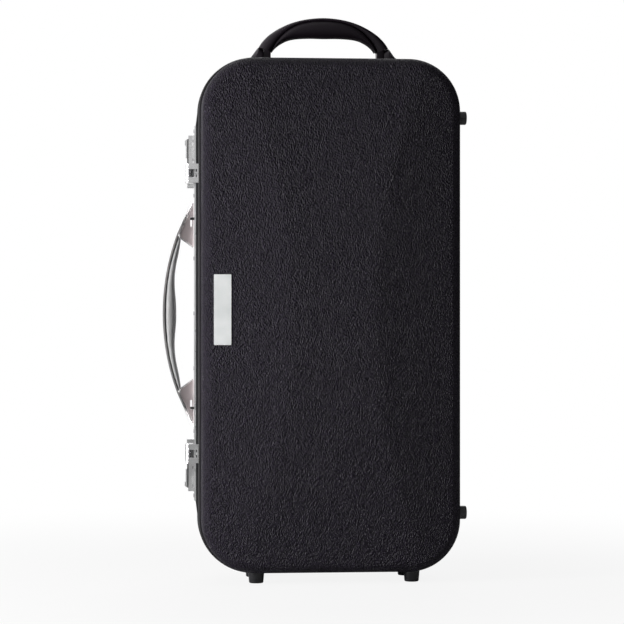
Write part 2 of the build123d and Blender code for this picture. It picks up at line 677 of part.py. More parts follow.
# Side rail on its moulded seat, with slots for the feet of the handle lugs
lug_heights = [LUG_LOW_Z, -LUG_LOW_Z - LUG_HEIGHT]
with BuildPart() as rail_seat:
    with BuildSketch(rail_front.offset(-LOCK_MID_Y)):
        with BuildLine():
            seat_inner = -HALF_WIDTH - BASE_LIP
            Polyline((seat_inner, RAIL_LENGTH / 2 + RAIL_SEAT_END), (-RAIL_BACK, RAIL_LENGTH / 2),
                     (-RAIL_BACK, -RAIL_LENGTH / 2), (seat_inner, -RAIL_LENGTH / 2 - RAIL_SEAT_END),
                     close=True)
        make_face()
    extrude(amount=RAIL_WIDTH / 2, both=True)
    add(rail_screws.part, mode=Mode.SUBTRACT)
    add(lock_screws.part, mode=Mode.SUBTRACT)
rail_seat.part.label = "rail_seat"
export_step(rail_seat.part, "parts/rail_seat.step")

with BuildPart() as side_rail:
    bar(rail_level.offset(-RAIL_LENGTH / 2), RAIL_LENGTH, -RAIL_FACE, -RAIL_BACK,
        LOCK_MID_Y - RAIL_WIDTH / 2, LOCK_MID_Y + RAIL_WIDTH / 2)
    for low in lug_heights:
        bar(rail_level.offset(low), LUG_HEIGHT, -RAIL_FACE, -RAIL_BACK,
            HANDLE_Y - LUG_FOOT, HANDLE_Y + LUG_FOOT, Mode.SUBTRACT)
    add(rail_screws.part, mode=Mode.SUBTRACT)
    add(lock_screws.part, mode=Mode.SUBTRACT)
side_rail.part.label = "side_rail"
export_step(side_rail.part, "parts/side_rail.step")

with BuildPart() as handle_lugs:
    for low in lug_heights:
        with BuildSketch(rail_level.offset(low)):
            with Locations((-RAIL_FACE - PIVOT_OUT, HANDLE_Y)):
                Circle(LUG_RADIUS)
        extrude(amount=LUG_HEIGHT)
        bar(rail_level.offset(low), LUG_HEIGHT, -RAIL_FACE - PIVOT_OUT / 2, -RAIL_BACK,
            HANDLE_Y - LUG_FOOT, HANDLE_Y + LUG_FOOT)
        with BuildSketch(rail_level.offset(low)):
            with Locations((-RAIL_FACE - PIVOT_OUT, HANDLE_Y)):
                Circle(LUG_HOLE)
        extrude(amount=LUG_HEIGHT, mode=Mode.SUBTRACT)
handle_lugs.part.label = "handle_lugs"
export_step(handle_lugs.part, "parts/handle_lugs.step")

# Locks: a pressed body with its slider and spring on the base, a hinged hasp on the lid
hasp_pin_x = -RAIL_FACE - HASP_PIN_OUT
hasp_outer = HASP_PIN_OUT + HASP_KNUCKLE
plate_near = LOCK_HASP_NEAR + HASP_ROOM
plate_far = LOCK_HASP_FAR - HASP_ROOM
housing_near = LOCK_HASP_FAR + HASP_ROOM


def lock_bar(side, near, far, out_low, out_high, y_low, y_high, mode=Mode.ADD):
    """Extrude a block of a lock, given by its distances from the middle and from the rail's face."""
    plane, length = stretch(side, near, far)
    bar(plane, length, -RAIL_FACE - out_high, -RAIL_FACE - out_low, y_low, y_high, mode)


def lock_round(side, near, far, x, y, radius, mode=Mode.ADD):
    """Extrude a round of a lock along the height."""
    plane, length = stretch(side, near, far)
    with BuildSketch(plane, mode=Mode.PRIVATE) as profile:
        with Locations((x, y)):
            Circle(radius)
    extrude(profile.sketch, amount=length, mode=mode)


housing_low = LOCK_MID_Y - LOCK_HOUSING_WIDTH / 2
housing_high = LOCK_MID_Y + LOCK_HOUSING_WIDTH / 2
neck_low = LOCK_MID_Y - SLIDER_NECK / 2
neck_high = LOCK_MID_Y + SLIDER_NECK / 2
channel_floor = 2 * LOCK_PLATE
neck_near = SLIDER_NEAR + SLIDER_NECK_SETBACK
neck_far = neck_near + SLIDER_NECK_LENGTH
channel_far = LOCK_FAR - SLIDER_NECK
for name, side in SIDES.items():
    with BuildPart() as lock_body:
        lock_bar(side, LOCK_NEAR, LOCK_FAR, 0, LOCK_PLATE,
                 LOCK_MID_Y - LOCK_WIDTH / 2, LOCK_MID_Y + LOCK_WIDTH / 2)
        lock_bar(side, housing_near, LOCK_FAR, LOCK_PLATE, LOCK_HOUSING, housing_low, housing_high)
        lock_bar(side, plate_near, housing_near, LOCK_PLATE, LOCK_CATCH, housing_low, LOCK_CATCH_FAR_Y)
        lock_bar(side, LOCK_NEAR, LOCK_HASP_NEAR - LOCK_END_ROOM, LOCK_PLATE, LOCK_END,
                 housing_low - LOCK_END_GROW, housing_high + LOCK_END_GROW)
        lock_bar(side, neck_near - SLIDE_PLAY, channel_far, channel_floor, LOCK_HOUSING,
                 neck_low - SLIDE_PLAY, neck_high + SLIDE_PLAY, Mode.SUBTRACT)
        lock_bar(side, housing_near, neck_near, channel_floor, SLIDER_NOSE + SLIDE_PLAY,
                 neck_low - SLIDE_PLAY, neck_high + SLIDE_PLAY, Mode.SUBTRACT)
        add(lock_screws.part, mode=Mode.SUBTRACT)
    lock_body.part.label = f"{name}_lock_body"
    export_step(lock_body.part, f"parts/{name}_lock_body.step")

    with BuildPart() as slider:
        lock_bar(side, SLIDER_NEAR, SLIDER_FAR, SLIDER_LOW, SLIDER_HIGH,
                 housing_low + SLIDER_SETBACK, housing_high - SLIDER_SETBACK)
        lock_bar(side, SLIDER_FAR - SLIDER_RIB_NEAR, SLIDER_FAR - SLIDER_RIB_FAR, SLIDER_HIGH, SLIDER_TAB,
                 housing_low + SLIDER_SETBACK, housing_high - SLIDER_SETBACK)
        lock_bar(side, neck_near, neck_far, channel_floor + SLIDE_PLAY, SLIDER_LOW, neck_low, neck_high)
        lock_bar(side, LOCK_HASP_FAR + SLIDER_NOSE_ROOM, neck_near, channel_floor + SLIDE_PLAY, SLIDER_NOSE,
                 neck_low, neck_high)
    slider.part.label = f"{name}_lock_slider"
    export_step(slider.part, f"parts/{name}_lock_slider.step")

    with BuildPart() as spring:
        lock_round(side, neck_far + SPRING_ROOM, channel_far, -RAIL_FACE - channel_floor - SLIDER_NECK / 2,
                   LOCK_MID_Y, SPRING_RADIUS)
        lock_round(side, neck_far + SPRING_ROOM, channel_far, -RAIL_FACE - channel_floor - SLIDER_NECK / 2,
                   LOCK_MID_Y, SPRING_RADIUS - SPRING_WIRE, Mode.SUBTRACT)
    spring.part.label = f"{name}_lock_spring"
    export_step(spring.part, f"parts/{name}_lock_spring.step")

    leg_x = -HALF_WIDTH - LID_LIP - HASP_LEG
    ear_length = (LOCK_HASP_FAR - LOCK_HASP_NEAR - HASP_WINDOW) / 2
    with BuildPart() as hasp_bracket:
        plane, length = stretch(side, LOCK_HASP_NEAR, LOCK_HASP_FAR)
        bar(plane, length, leg_x, leg_x + HASP_LEG, -LID_LEAF_WIDTH, -HASP_LEG_START)
        for near, far in ((LOCK_HASP_NEAR, LOCK_HASP_NEAR + ear_length),
                          (LOCK_HASP_FAR - ear_length, LOCK_HASP_FAR)):
            plane, length = stretch(side, near, far)
            bar(plane, length, hasp_pin_x, leg_x, HASP_PIN_Y - HASP_KNUCKLE, HASP_PIN_Y + HASP_KNUCKLE)
            lock_round(side, near, far, hasp_pin_x, HASP_PIN_Y, HASP_KNUCKLE)
        lock_round(side, LOCK_HASP_NEAR, LOCK_HASP_FAR, hasp_pin_x, HASP_PIN_Y, HASP_PIN, Mode.SUBTRACT)
        add(bracket_rivets.part, mode=Mode.SUBTRACT)
    hasp_bracket.part.label = f"{name}_hasp_bracket"
    export_step(hasp_bracket.part, f"parts/{name}_hasp_bracket.step")

    with BuildPart() as hasp_pin:
        lock_round(side, LOCK_HASP_NEAR, LOCK_HASP_FAR, hasp_pin_x, HASP_PIN_Y, HASP_PIN)
    hasp_pin.part.label = f"{name}_hasp_pin"
    export_step(hasp_pin.part, f"parts/{name}_hasp_pin.step")

    knuckle_near = LOCK_HASP_NEAR + ear_length + SLIDE_PLAY
    knuckle_far = LOCK_HASP_FAR - ear_length - SLIDE_PLAY
    with BuildPart() as hasp:
        lock_round(side, knuckle_near, knuckle_far, hasp_pin_x, HASP_PIN_Y, HASP_KNUCKLE)
        lock_bar(side, knuckle_near, knuckle_far, hasp_outer - HASP_THICKNESS, hasp_outer,
                 HASP_PIN_Y, HASP_PIN_Y + HASP_SLOPE)
        lock_bar(side, plate_near, plate_far, hasp_outer - HASP_THICKNESS, hasp_outer,
                 HASP_PIN_Y + HASP_SLOPE, HASP_PIN_Y + HASP_REACH)
        lock_bar(side, plate_near, plate_far, hasp_outer - HASP_THICKNESS - HASP_LIP,
                 hasp_outer - HASP_THICKNESS, HASP_PIN_Y + HASP_REACH - HASP_THICKNESS,
                 HASP_PIN_Y + HASP_REACH)
        lock_round(side, knuckle_near, knuckle_far, hasp_pin_x, HASP_PIN_Y, HASP_PIN + PIN_PLAY,
                   Mode.SUBTRACT)
    hasp.part.label = f"{name}_hasp"
    export_step(hasp.part, f"parts/{name}_hasp.step")

# Carrying handle on the side, drawn in the front view and trimmed so that it can swing
handle_plane = rail_front.offset(-HANDLE_Y)


def handle_point(out, height):
    """Return a point of the handle from its distance to the rail's face and its height."""
    return (-RAIL_FACE - out, height)


def handle_arch(inset):
    """Draw the arch of the strap, moved in towards the case."""
    tip = HANDLE_TIP_OUT - inset
    knee = HANDLE_KNEE_OUT - inset
    Polyline(handle_point(tip, HANDLE_TIP_Z), handle_point(knee, HANDLE_KNEE_Z))
    ThreePointArc(handle_point(knee, HANDLE_KNEE_Z), handle_point(HANDLE_REACH - inset, 0),
                  handle_point(knee, -HANDLE_KNEE_Z))
    Polyline(handle_point(knee, -HANDLE_KNEE_Z), handle_point(tip, -HANDLE_TIP_Z))


with BuildPart() as swing_room:
    with BuildSketch(rail_level.offset(-HANDLE_TIP_Z)):
        with BuildLine():
            near = -RAIL_FACE - SWING_NEAR
            wide = -RAIL_FACE - SWING_WIDE
            far = -HANDLE_OUT - SWING_NEAR
            near_half = SWING_HALF - SWING_SLOPE * (PIVOT_OUT - SWING_NEAR)
            wide_half = SWING_HALF + SWING_SLOPE * (SWING_WIDE - PIVOT_OUT)
            Polyline((near, HANDLE_Y - near_half), (wide, HANDLE_Y - wide_half),
                     (far, HANDLE_Y - wide_half), (far, HANDLE_Y + wide_half),
                     (wide, HANDLE_Y + wide_half), (near, HANDLE_Y + near_half), close=True)
        make_face()
    extrude(amount=2 * HANDLE_TIP_Z)

with BuildPart() as handle_rivets:
    for side in SIDES.values():
        for height in STRAP_RIVETS_Z:
            out = HANDLE_TIP_OUT + (HANDLE_TIP_Z - height) * STRAP_SLOPE
            rivet_plane = Plane(origin=handle_plane.from_local_coords(handle_point(out, side * height)),
                                x_dir=(0, 1, 0), z_dir=(-1, 0, side * STRAP_SLOPE))
            with BuildSketch(rivet_plane):
                Circle(STRAP_RIVET)
            extrude(amount=-STRAP_THICKNESS - FLANGE_THICKNESS)
handle_rivets.part.label = "handle_rivets"
export_step(handle_rivets.part, "parts/handle_rivets.step")

with BuildPart() as handle_strap:
    with BuildSketch(handle_plane):
        with BuildLine():
            handle_arch(0.0)
            Line(handle_point(HANDLE_TIP_OUT, -HANDLE_TIP_Z),
                 handle_point(HANDLE_TIP_OUT - STRAP_THICKNESS, -HANDLE_TIP_Z))
            handle_arch(STRAP_THICKNESS)
            Line(handle_point(HANDLE_TIP_OUT - STRAP_THICKNESS, HANDLE_TIP_Z),
                 handle_point(HANDLE_TIP_OUT, HANDLE_TIP_Z))
        make_face()
    extrude(amount=STRAP_WIDTH / 2, both=True)
    add(swing_room.part, mode=Mode.INTERSECT)
    add(handle_rivets.part, mode=Mode.SUBTRACT)
handle_strap.part.label = "handle_strap"
export_step(handle_strap.part, "parts/handle_strap.step")

for name, side in SIDES.items():
    inner_z = HANDLE_TIP_Z - (BRACKET_GAP + STRAP_THICKNESS - HANDLE_TIP_OUT) / STRAP_SLOPE
    knee_out = HANDLE_KNEE_OUT - STRAP_THICKNESS
    with BuildPart() as handle_bracket:
        with BuildSketch(handle_plane):
            with BuildLine():
                Polyline(handle_point(BRACKET_GAP, side * inner_z),
                         handle_point(knee_out, side * HANDLE_KNEE_Z),
                         handle_point(BRACKET_CORNER_OUT, side * BRACKET_CORNER_Z),
                         handle_point(BRACKET_GAP, side * BRACKET_LOW_Z), close=True)
            make_face()
        extrude(amount=BRACKET_THICKNESS / 2, both=True)
        with BuildSketch(handle_plane):
            with BuildLine():
                Polyline(handle_point(BRACKET_GAP, side * inner_z),
                         handle_point(knee_out, side * HANDLE_KNEE_Z),
                         handle_point(knee_out - FLANGE_THICKNESS, side * HANDLE_KNEE_Z),
                         handle_point(BRACKET_GAP, side * (inner_z - FLANGE_THICKNESS / STRAP_SLOPE)),
                         close=True)
            make_face()
        extrude(amount=STRAP_WIDTH / 2, both=True)
        add(swing_room.part, mode=Mode.INTERSECT)
        slot_low = -RAIL_FACE - PIVOT_OUT - BRIDGE_OUT / 2 - SLOT_WIDTH
        bridge_face = -RAIL_FACE - PIVOT_OUT - BRIDGE_OUT / 2
        bridge_back = -RAIL_FACE - PIVOT_OUT + BRIDGE_OUT / 2
        lug_top = LUG_LOW_Z + LUG_HEIGHT + LUG_ROOM
        plane, length = stretch(side, SLOT_LOW_Z, lug_top)
        bar(plane, length, slot_low, bridge_face, HANDLE_Y - BRACKET_THICKNESS,
            HANDLE_Y + BRACKET_THICKNESS, Mode.SUBTRACT)
        plane, length = stretch(side, LUG_LOW_Z - LUG_ROOM, lug_top)
        bar(plane, length, bridge_back, -RAIL_FACE, HANDLE_Y - BRACKET_THICKNESS,
            HANDLE_Y + BRACKET_THICKNESS, Mode.SUBTRACT)
        for low, high in ((-BRACKET_THICKNESS, -BRIDGE_WIDTH / 2), (BRIDGE_WIDTH / 2, BRACKET_THICKNESS)):
            bar(plane, length, slot_low, -RAIL_FACE, HANDLE_Y + low, HANDLE_Y + high, Mode.SUBTRACT)
        add(handle_rivets.part, mode=Mode.SUBTRACT)
    handle_bracket.part.label = f"{name}_handle_bracket"
    export_step(handle_bracket.part, f"parts/{name}_handle_bracket.step")

grip_back = STRAP_THICKNESS + GRIP_SEAM
grip_bow = HANDLE_REACH - HANDLE_KNEE_OUT
grip_end_out = HANDLE_REACH - grip_bow * (GRIP_END_Z / HANDLE_KNEE_Z) ** 2 - grip_back
with BuildPart() as handle_grip:
    with BuildSketch(handle_plane):
        with BuildLine():
            ThreePointArc(handle_point(grip_end_out, GRIP_END_Z),
                          handle_point(HANDLE_REACH - grip_back, 0),
                          handle_point(grip_end_out, -GRIP_END_Z))
            Line(handle_point(grip_end_out, -GRIP_END_Z),
                 handle_point(grip_end_out - GRIP_END_THICKNESS, -GRIP_END_Z))
            Spline(handle_point(grip_end_out - GRIP_END_THICKNESS, -GRIP_END_Z),
                   handle_point(GRIP_SWELL_OUT, -GRIP_SWELL_Z), handle_point(GRIP_MID_OUT, 0),
                   handle_point(GRIP_SWELL_OUT, GRIP_SWELL_Z),
                   handle_point(grip_end_out - GRIP_END_THICKNESS, GRIP_END_Z))
            Line(handle_point(grip_end_out - GRIP_END_THICKNESS, GRIP_END_Z),
                 handle_point(grip_end_out, GRIP_END_Z))
        make_face()
    extrude(amount=GRIP_WIDTH / 2, both=True)
    palm = handle_grip.edges().filter_by(GeomType.BSPLINE)
    fillet(palm, GRIP_EDGE)
    add(swing_room.part, mode=Mode.INTERSECT)
handle_grip.part.label = "handle_grip"
export_step(handle_grip.part, "parts/handle_grip.step")

# Top handle: an arch on two pins between ears that are screwed to the top of the base
top_plane = Plane(origin=front.from_local_coords((TOP_HANDLE_X, HALF_HEIGHT, -TOP_HANDLE_Y)),
                  x_dir=(1, 0, 0), z_dir=(0, -1, 0))
top_across = Plane(origin=front.from_local_coords((TOP_HANDLE_X, HALF_HEIGHT, -TOP_HANDLE_Y)),
                   x_dir=(0, 1, 0), z_dir=(1, 0, 0))
arch_centre = TOP_ARCH_HEIGHT - TOP_ARCH_RADIUS
grip_centre = TOP_GRIP_TOP - TOP_GRIP_RADIUS
grip_shoulder = grip_centre + (TOP_GRIP_RADIUS ** 2 - TOP_GRIP_REACH ** 2) ** 0.5


def finger_gap(mode):
    """Draw the opening under the top handle."""
    with BuildLine() as gap:
        Polyline((-TOP_OPENING, -TOP_PIVOT), (-TOP_OPENING, TOP_OPENING_SIDE))
        ThreePointArc((-TOP_OPENING, TOP_OPENING_SIDE), (-TOP_OPENING_BEND, TOP_OPENING_RISE),
                      (-TOP_FLAT, TOP_FINGER_GAP))
        Line((-TOP_FLAT, TOP_FINGER_GAP), (TOP_FLAT, TOP_FINGER_GAP))
        ThreePointArc((TOP_FLAT, TOP_FINGER_GAP), (TOP_OPENING_BEND, TOP_OPENING_RISE),
                      (TOP_OPENING, TOP_OPENING_SIDE))
        Polyline((TOP_OPENING, TOP_OPENING_SIDE), (TOP_OPENING, -TOP_PIVOT), (-TOP_OPENING, -TOP_PIVOT))
    make_face(gap.edges(), mode=mode)


with BuildPart() as top_handle_pins:
    for side in (-1, 1):
        with BuildSketch(top_across.offset(side * TOP_PIN_START)):
            with Locations((0, TOP_PIVOT)):
                Circle(TOP_PIN)
        extrude(amount=side * (TOP_PIN_END - TOP_PIN_START))
top_handle_pins.part.label = "top_handle_pins"
export_step(top_handle_pins.part, "parts/top_handle_pins.step")

with BuildPart() as top_handle_ears:
    with BuildSketch(top_plane):
        with Locations((0, arch_centre)):
            Circle(TOP_ARCH_RADIUS)
        with Locations((0, (TOP_PIVOT + TOP_EAR_RADIUS) / 2 - FOOT_ROOT / 2)):
            Rectangle(2 * TOP_ARCH_RADIUS, TOP_PIVOT + TOP_EAR_RADIUS + FOOT_ROOT, mode=Mode.INTERSECT)
            Rectangle(2 * TOP_EAR_INNER, 2 * TOP_ARCH_RADIUS, mode=Mode.SUBTRACT)
    extrude(amount=TOP_EAR_RADIUS, both=True)
    with BuildSketch(top_across):
        with Locations((0, TOP_PIVOT)):
            Circle(TOP_EAR_RADIUS)
        with Locations((0, TOP_PIVOT / 2 - FOOT_ROOT)):
            Rectangle(2 * TOP_EAR_RADIUS, TOP_PIVOT + 2 * FOOT_ROOT)
    extrude(amount=TOP_ARCH_RADIUS, both=True, mode=Mode.INTERSECT)
    add(base_outer.part, mode=Mode.SUBTRACT)
    add(top_handle_pins.part, mode=Mode.SUBTRACT)
    add(top_handle_screws.part, mode=Mode.SUBTRACT)
top_handle_ears.part.label = "top_handle_ears"
export_step(top_handle_ears.part, "parts/top_handle_ears.step")

with BuildPart() as top_handle_grip:
    with BuildSketch(top_plane):
        with BuildLine():
            ThreePointArc((-TOP_GRIP_REACH, grip_shoulder), (0, TOP_GRIP_TOP),
                          (TOP_GRIP_REACH, grip_shoulder))
            Polyline((TOP_GRIP_REACH, grip_shoulder), (TOP_GRIP_FOOT, TOP_GRIP_LOW),
                     (-TOP_GRIP_FOOT, TOP_GRIP_LOW), (-TOP_GRIP_REACH, grip_shoulder))
        make_face()
        finger_gap(Mode.SUBTRACT)
    extrude(amount=TOP_GRIP_WIDTH / 2, both=True)
top_handle_grip.part.label = "top_handle_grip"
export_step(top_handle_grip.part, "parts/top_handle_grip.step")

with BuildPart() as top_handle_frame:
    with BuildSketch(top_plane):
        with Locations((0, arch_centre)):
            Circle(TOP_ARCH_RADIUS)
        with Locations((0, TOP_PIVOT + TOP_ARCH_RADIUS)):
            Rectangle(2 * TOP_ARCH_RADIUS, 2 * TOP_ARCH_RADIUS, mode=Mode.INTERSECT)
        finger_gap(Mode.SUBTRACT)
    extrude(amount=TOP_ARCH_WIDTH / 2, both=True)
    add(top_handle_grip.part, mode=Mode.SUBTRACT)
    tongue_outer = TOP_OPENING + TOP_TONGUE
    for side in (-1, 1):
        with BuildSketch(top_across.offset(side * tongue_outer)):
            with Locations((0, TOP_PIVOT)):
                Rectangle(2 * TOP_ARCH_WIDTH, 2 * TOP_SHOULDER)
        extrude(amount=side * TOP_ARCH_RADIUS, mode=Mode.SUBTRACT)
        with BuildSketch(top_across.offset(side * TOP_OPENING)):
            with Locations((0, TOP_PIVOT)):
                Circle(TOP_TONGUE_RADIUS)
        extrude(amount=side * TOP_TONGUE)
        with BuildSketch(top_across.offset(side * TOP_OPENING)):
            with Locations((0, TOP_PIVOT)):
                Circle(TOP_PIN + PIN_PLAY)
        extrude(amount=side * TOP_TONGUE, mode=Mode.SUBTRACT)
top_handle_frame.part.label = "top_handle_frame"
export_step(top_handle_frame.part, "parts/top_handle_frame.step")
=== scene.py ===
"""Looks for the upright bassoon case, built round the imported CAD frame."""
import math

import bmesh
import bpy
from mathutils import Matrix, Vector


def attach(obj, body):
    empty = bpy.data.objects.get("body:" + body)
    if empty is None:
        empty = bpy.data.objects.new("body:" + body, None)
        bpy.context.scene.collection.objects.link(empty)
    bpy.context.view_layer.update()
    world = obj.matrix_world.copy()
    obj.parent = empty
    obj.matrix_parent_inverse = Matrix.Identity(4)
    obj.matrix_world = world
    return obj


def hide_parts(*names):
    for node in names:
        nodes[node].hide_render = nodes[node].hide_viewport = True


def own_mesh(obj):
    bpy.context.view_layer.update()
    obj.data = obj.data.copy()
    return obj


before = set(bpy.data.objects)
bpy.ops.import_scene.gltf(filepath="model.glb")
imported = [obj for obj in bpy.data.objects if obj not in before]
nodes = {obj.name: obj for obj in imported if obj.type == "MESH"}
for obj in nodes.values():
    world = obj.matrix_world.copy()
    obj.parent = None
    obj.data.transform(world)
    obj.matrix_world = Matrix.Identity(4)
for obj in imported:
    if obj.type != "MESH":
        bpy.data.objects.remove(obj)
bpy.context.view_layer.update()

# The case's own frame, in mm: the middle of the parting plane, X right, Y back, Z up
MM = 0.001
CASE = Vector((19.4, -6.0, 336.5))
HALF_WIDTH, HALF_HEIGHT, RADIUS = 163.5, 324.0, 66.5
LID_DEPTH, LID_START, LID_COLLAR = 72.0, 4.0, 18.0
LID_DRAFT = math.tan(math.radians(2.0))
LID_MIDDLE, LID_FALL, LID_CROWN = 51.0, 0.16, 4650.0
LID_SHOULDER, LID_ROUNDING = 42.0, 12.0
CREASE = 0.35
WALL, LINING = 3.0, 5.0
HINGE_X, HINGE_Y, HINGE_PITCH, HINGE_LENGTH = 165.2, 2.3, 200.0, 60.8
RAIL_FACE, RAIL_LIFT, HANDLE_Y = 171.0, 2.5, 12.0
TOP_X, TOP_Y = -3.0, 42.0
WINDOW_X, WINDOW_Z, WINDOW_RADIUS = 151.0, 313.0, 51.5
INSERT_TOP, INSERT_BACK, DIVIDER_TOP = 4.0, 69.0, 20.0
SHARP = math.radians(44.0)
# Steps of an outline along half a side and half an end, and round a corner
SIDE_STEPS, END_STEPS, TURN_STEPS = 44, 18, 20
# What comes in an upper and a lower copy, with its side of the rail's middle
COPIES = (("upper", 1), ("lower", -1))


def at(x, y, z):
    """A point of the case's own frame, in mm, as a point of the row frame in metres."""
    return (Vector((x, y, z)) + CASE) * MM


# Materials


class Material:
    """A node material with short calls for the nodes that it needs."""

    def __init__(self, name, color, roughness, metallic=0.0, **values):
        self.made = bpy.data.materials.new(name)
        self.made.use_nodes = True
        self.tree = self.made.node_tree
        self.shader = self.tree.nodes["Principled BSDF"]
        self.shader.inputs["Base Color"].default_value = (*color, 1.0)
        self.shader.inputs["Roughness"].default_value = roughness
        self.shader.inputs["Metallic"].default_value = metallic
        for key, value in values.items():
            self.shader.inputs[key.replace("_", " ")].default_value = value
        self.place = self.node("ShaderNodeTexCoord").outputs["Object"]

    def node(self, kind, inputs=None, **settings):
        made = self.tree.nodes.new(kind)
        for key, value in settings.items():
            setattr(made, key, value)
        for key, value in (inputs or {}).items():
            socket = made.inputs[key]
            if isinstance(value, bpy.types.NodeSocket):
                self.tree.links.new(value, socket)
            else:
                socket.default_value = value
        return made

    def stretched(self, scale):
        return self.node("ShaderNodeMapping", {"Vector": self.place, "Scale": scale}).outputs[0]

    def noise(self, vector, scale, detail=2.0, rough=0.5):
        return self.node("ShaderNodeTexNoise", {"Vector": vector, "Scale": scale, "Detail": detail,
                                                "Roughness": rough})

    def ranged(self, value, low, high, to_low=0.0, to_high=1.0, smooth=False):
        kind = "SMOOTHSTEP" if smooth else "LINEAR"
        made = self.node("ShaderNodeMapRange", {"Value": value, "From Min": low, "From Max": high,
                                                "To Min": to_low, "To Max": to_high},
                         interpolation_type=kind)
        return made.outputs[0]

    def math(self, operation, first, second):
        return self.node("ShaderNodeMath", {0: first, 1: second}, operation=operation).outputs[0]

    def mixed(self, factor, first, second):
        made = self.node("ShaderNodeMix", data_type="RGBA")
        self.tree.links.new(factor, made.inputs[0])
        for socket, color in ((made.inputs[6], first), (made.inputs[7], second)):
            socket.default_value = (*color, 1.0)
        self.tree.links.new(made.outputs[2], self.shader.inputs["Base Color"])

    def roughened(self, value):
        self.tree.links.new(value, self.shader.inputs["Roughness"])

    def bumped(self, height, distance, strength=1.0):
        made = self.node("ShaderNodeBump", {"Height": height, "Distance": distance,
                                            "Strength": strength})
        self.tree.links.new(made.outputs[0], self.shader.inputs["Normal"])


def leather(name, dark, light, roughness):
    """Grained black leather cloth: short bent strokes between small pebbles, with fine pores."""
    made = Material(name, light, roughness, Specular_IOR_Level=0.25)
    drift = made.noise(made.place, 80.0, 1.0)
    bent = made.node("ShaderNodeVectorMath", {0: drift.outputs["Color"], "Scale": 0.0028},
                     operation="SCALE").outputs[0]
    moved = made.node("ShaderNodeVectorMath", {0: made.place, 1: bent}).outputs[0]
    upright = made.node("ShaderNodeMapping", {"Vector": moved, "Scale": (1.0, 1.0, 0.55),
                                              "Rotation": (0.62, 0.5, 0.35)}).outputs[0]
    wave = made.ranged(made.noise(upright, 620.0, 0.0).outputs["Fac"], 0.28, 0.72)
    cells = made.node("ShaderNodeTexVoronoi", {"Vector": upright, "Scale": 460.0, "Randomness": 0.7},
                      feature="DISTANCE_TO_EDGE").outputs["Distance"]
    pebble = made.ranged(cells, 0.0, 0.4, smooth=True)
    relief = made.math("ADD", made.math("MULTIPLY", wave, 0.6), made.math("MULTIPLY", pebble, 0.4))
    pores = made.noise(made.place, 2600.0, 2.0).outputs["Fac"]
    height = made.math("ADD", relief, made.math("MULTIPLY", pores, 0.1))
    # Colour follows the relief: darker in the grain's hollows as painted shade, lighter on the grain's tops
    # as painted highlight
    made.mixed(relief, dark, light)
    made.roughened(made.ranged(relief, 0.0, 1.0, roughness + 0.18, roughness))
    made.bumped(height, 0.0021)
    return made.made


def moulded(name, color, roughness, grain=1400.0, depth=0.00006, **values):
    """Moulded plastic or rubber: a fine spark texture and a slow change of gloss."""
    made = Material(name, color, roughness, **values)
    fine = made.noise(made.place, grain, 3.0, 0.6).outputs["Fac"]
    slow = made.noise(made.place, 22.0, 2.0).outputs["Fac"]
    made.roughened(made.ranged(slow, 0.3, 0.7, roughness - 0.05, roughness + 0.06))
    made.mixed(slow, [0.85 * c for c in color], [1.15 * c for c in color])
    made.bumped(fine, depth)
    return made.made


def metal(name, color, roughness, brushed=(1.0, 1.0, 1.0), depth=0.00001, wear=0.12, **values):
    """Satin metal: a brushed or blasted surface with faint marks."""
    made = Material(name, color, roughness, metallic=1.0, **values)
    lines = made.noise(made.stretched(brushed), 900.0, 4.0, 0.6).outputs["Fac"]
    marks = made.noise(made.place, 60.0, 4.0, 0.65).outputs["Fac"]
    made.roughened(made.ranged(marks, 0.35, 0.75, roughness - 0.04, roughness + wear))
    made.mixed(marks, [0.9 * c for c in color], [min(1.0, 1.06 * c) for c in color])
    made.bumped(lines, depth)
    return made.made


def plush(name, dark, light):
    """Short-piled plush over foam: nap in two directions, with a velvety sheen."""
    made = Material(name, dark, 0.95, Sheen_Weight=0.7, Sheen_Roughness=0.4, Specular_IOR_Level=0.15)
    made.shader.inputs["Sheen Tint"].default_value = (0.75, 0.77, 0.85, 1.0)
    nap = made.noise(made.place, 700.0, 4.0, 0.7).outputs["Fac"]
    brushed = made.noise(made.stretched((1.0, 1.0, 0.45)), 26.0, 3.0, 0.6).outputs["Fac"]
    made.mixed(made.math("MULTIPLY", nap, made.ranged(brushed, 0.3, 0.7, 0.5, 1.4)), dark, light)
    made.bumped(nap, 0.0009)
    return made.made


# Keeps a metal from glaring white at a grazing angle
DULL = (0.16, 0.16, 0.16, 1.0)

# Its two colours paint shade into the grain's hollows and highlight onto the grain's tops
LEATHER = leather("leather_cloth", (0.0013, 0.0002, 0.0034), (0.0146, 0.0088, 0.0230), 0.43)
RIM = moulded("rim_plastic", (0.0075, 0.007, 0.0085), 0.55, 1100.0, 0.00005, Specular_IOR_Level=0.3)
SEAL = moulded("seal_rubber", (0.009, 0.009, 0.009), 0.62)
PLUSH = plush("plush", (0.010, 0.010, 0.012), (0.055, 0.056, 0.064))
RAIL = metal("rail_aluminium", (0.88, 0.88, 0.885), 0.30, (1.0, 1.0, 0.02), 0.000012)
PLATE = metal("plate_aluminium", (0.96, 1.0, 0.995), 0.42, (1.0, 1.0, 0.03), 0.00001, 0.08)
CHROME = metal("lock_chrome", (0.95, 0.95, 0.96), 0.22, depth=0.000006)
SPRING = metal("spring_steel", (0.55, 0.55, 0.56), 0.3)
SCREW = metal("screw_steel", (0.50, 0.50, 0.51), 0.3)
HINGE = metal("hinge_black", (0.045, 0.045, 0.047), 0.36)
BRACKET = metal("bracket_die_cast", (0.60, 0.525, 0.53), 0.44, depth=0.000012)
# The bracket's die-cast, painted darker as the shade on its flange under the strap
FLANGE_PAINTED_SHADE = metal("flange_die_cast_painted_shade", (0.34, 0.32, 0.32), 0.42, depth=0.000012, Specular_Tint=DULL)
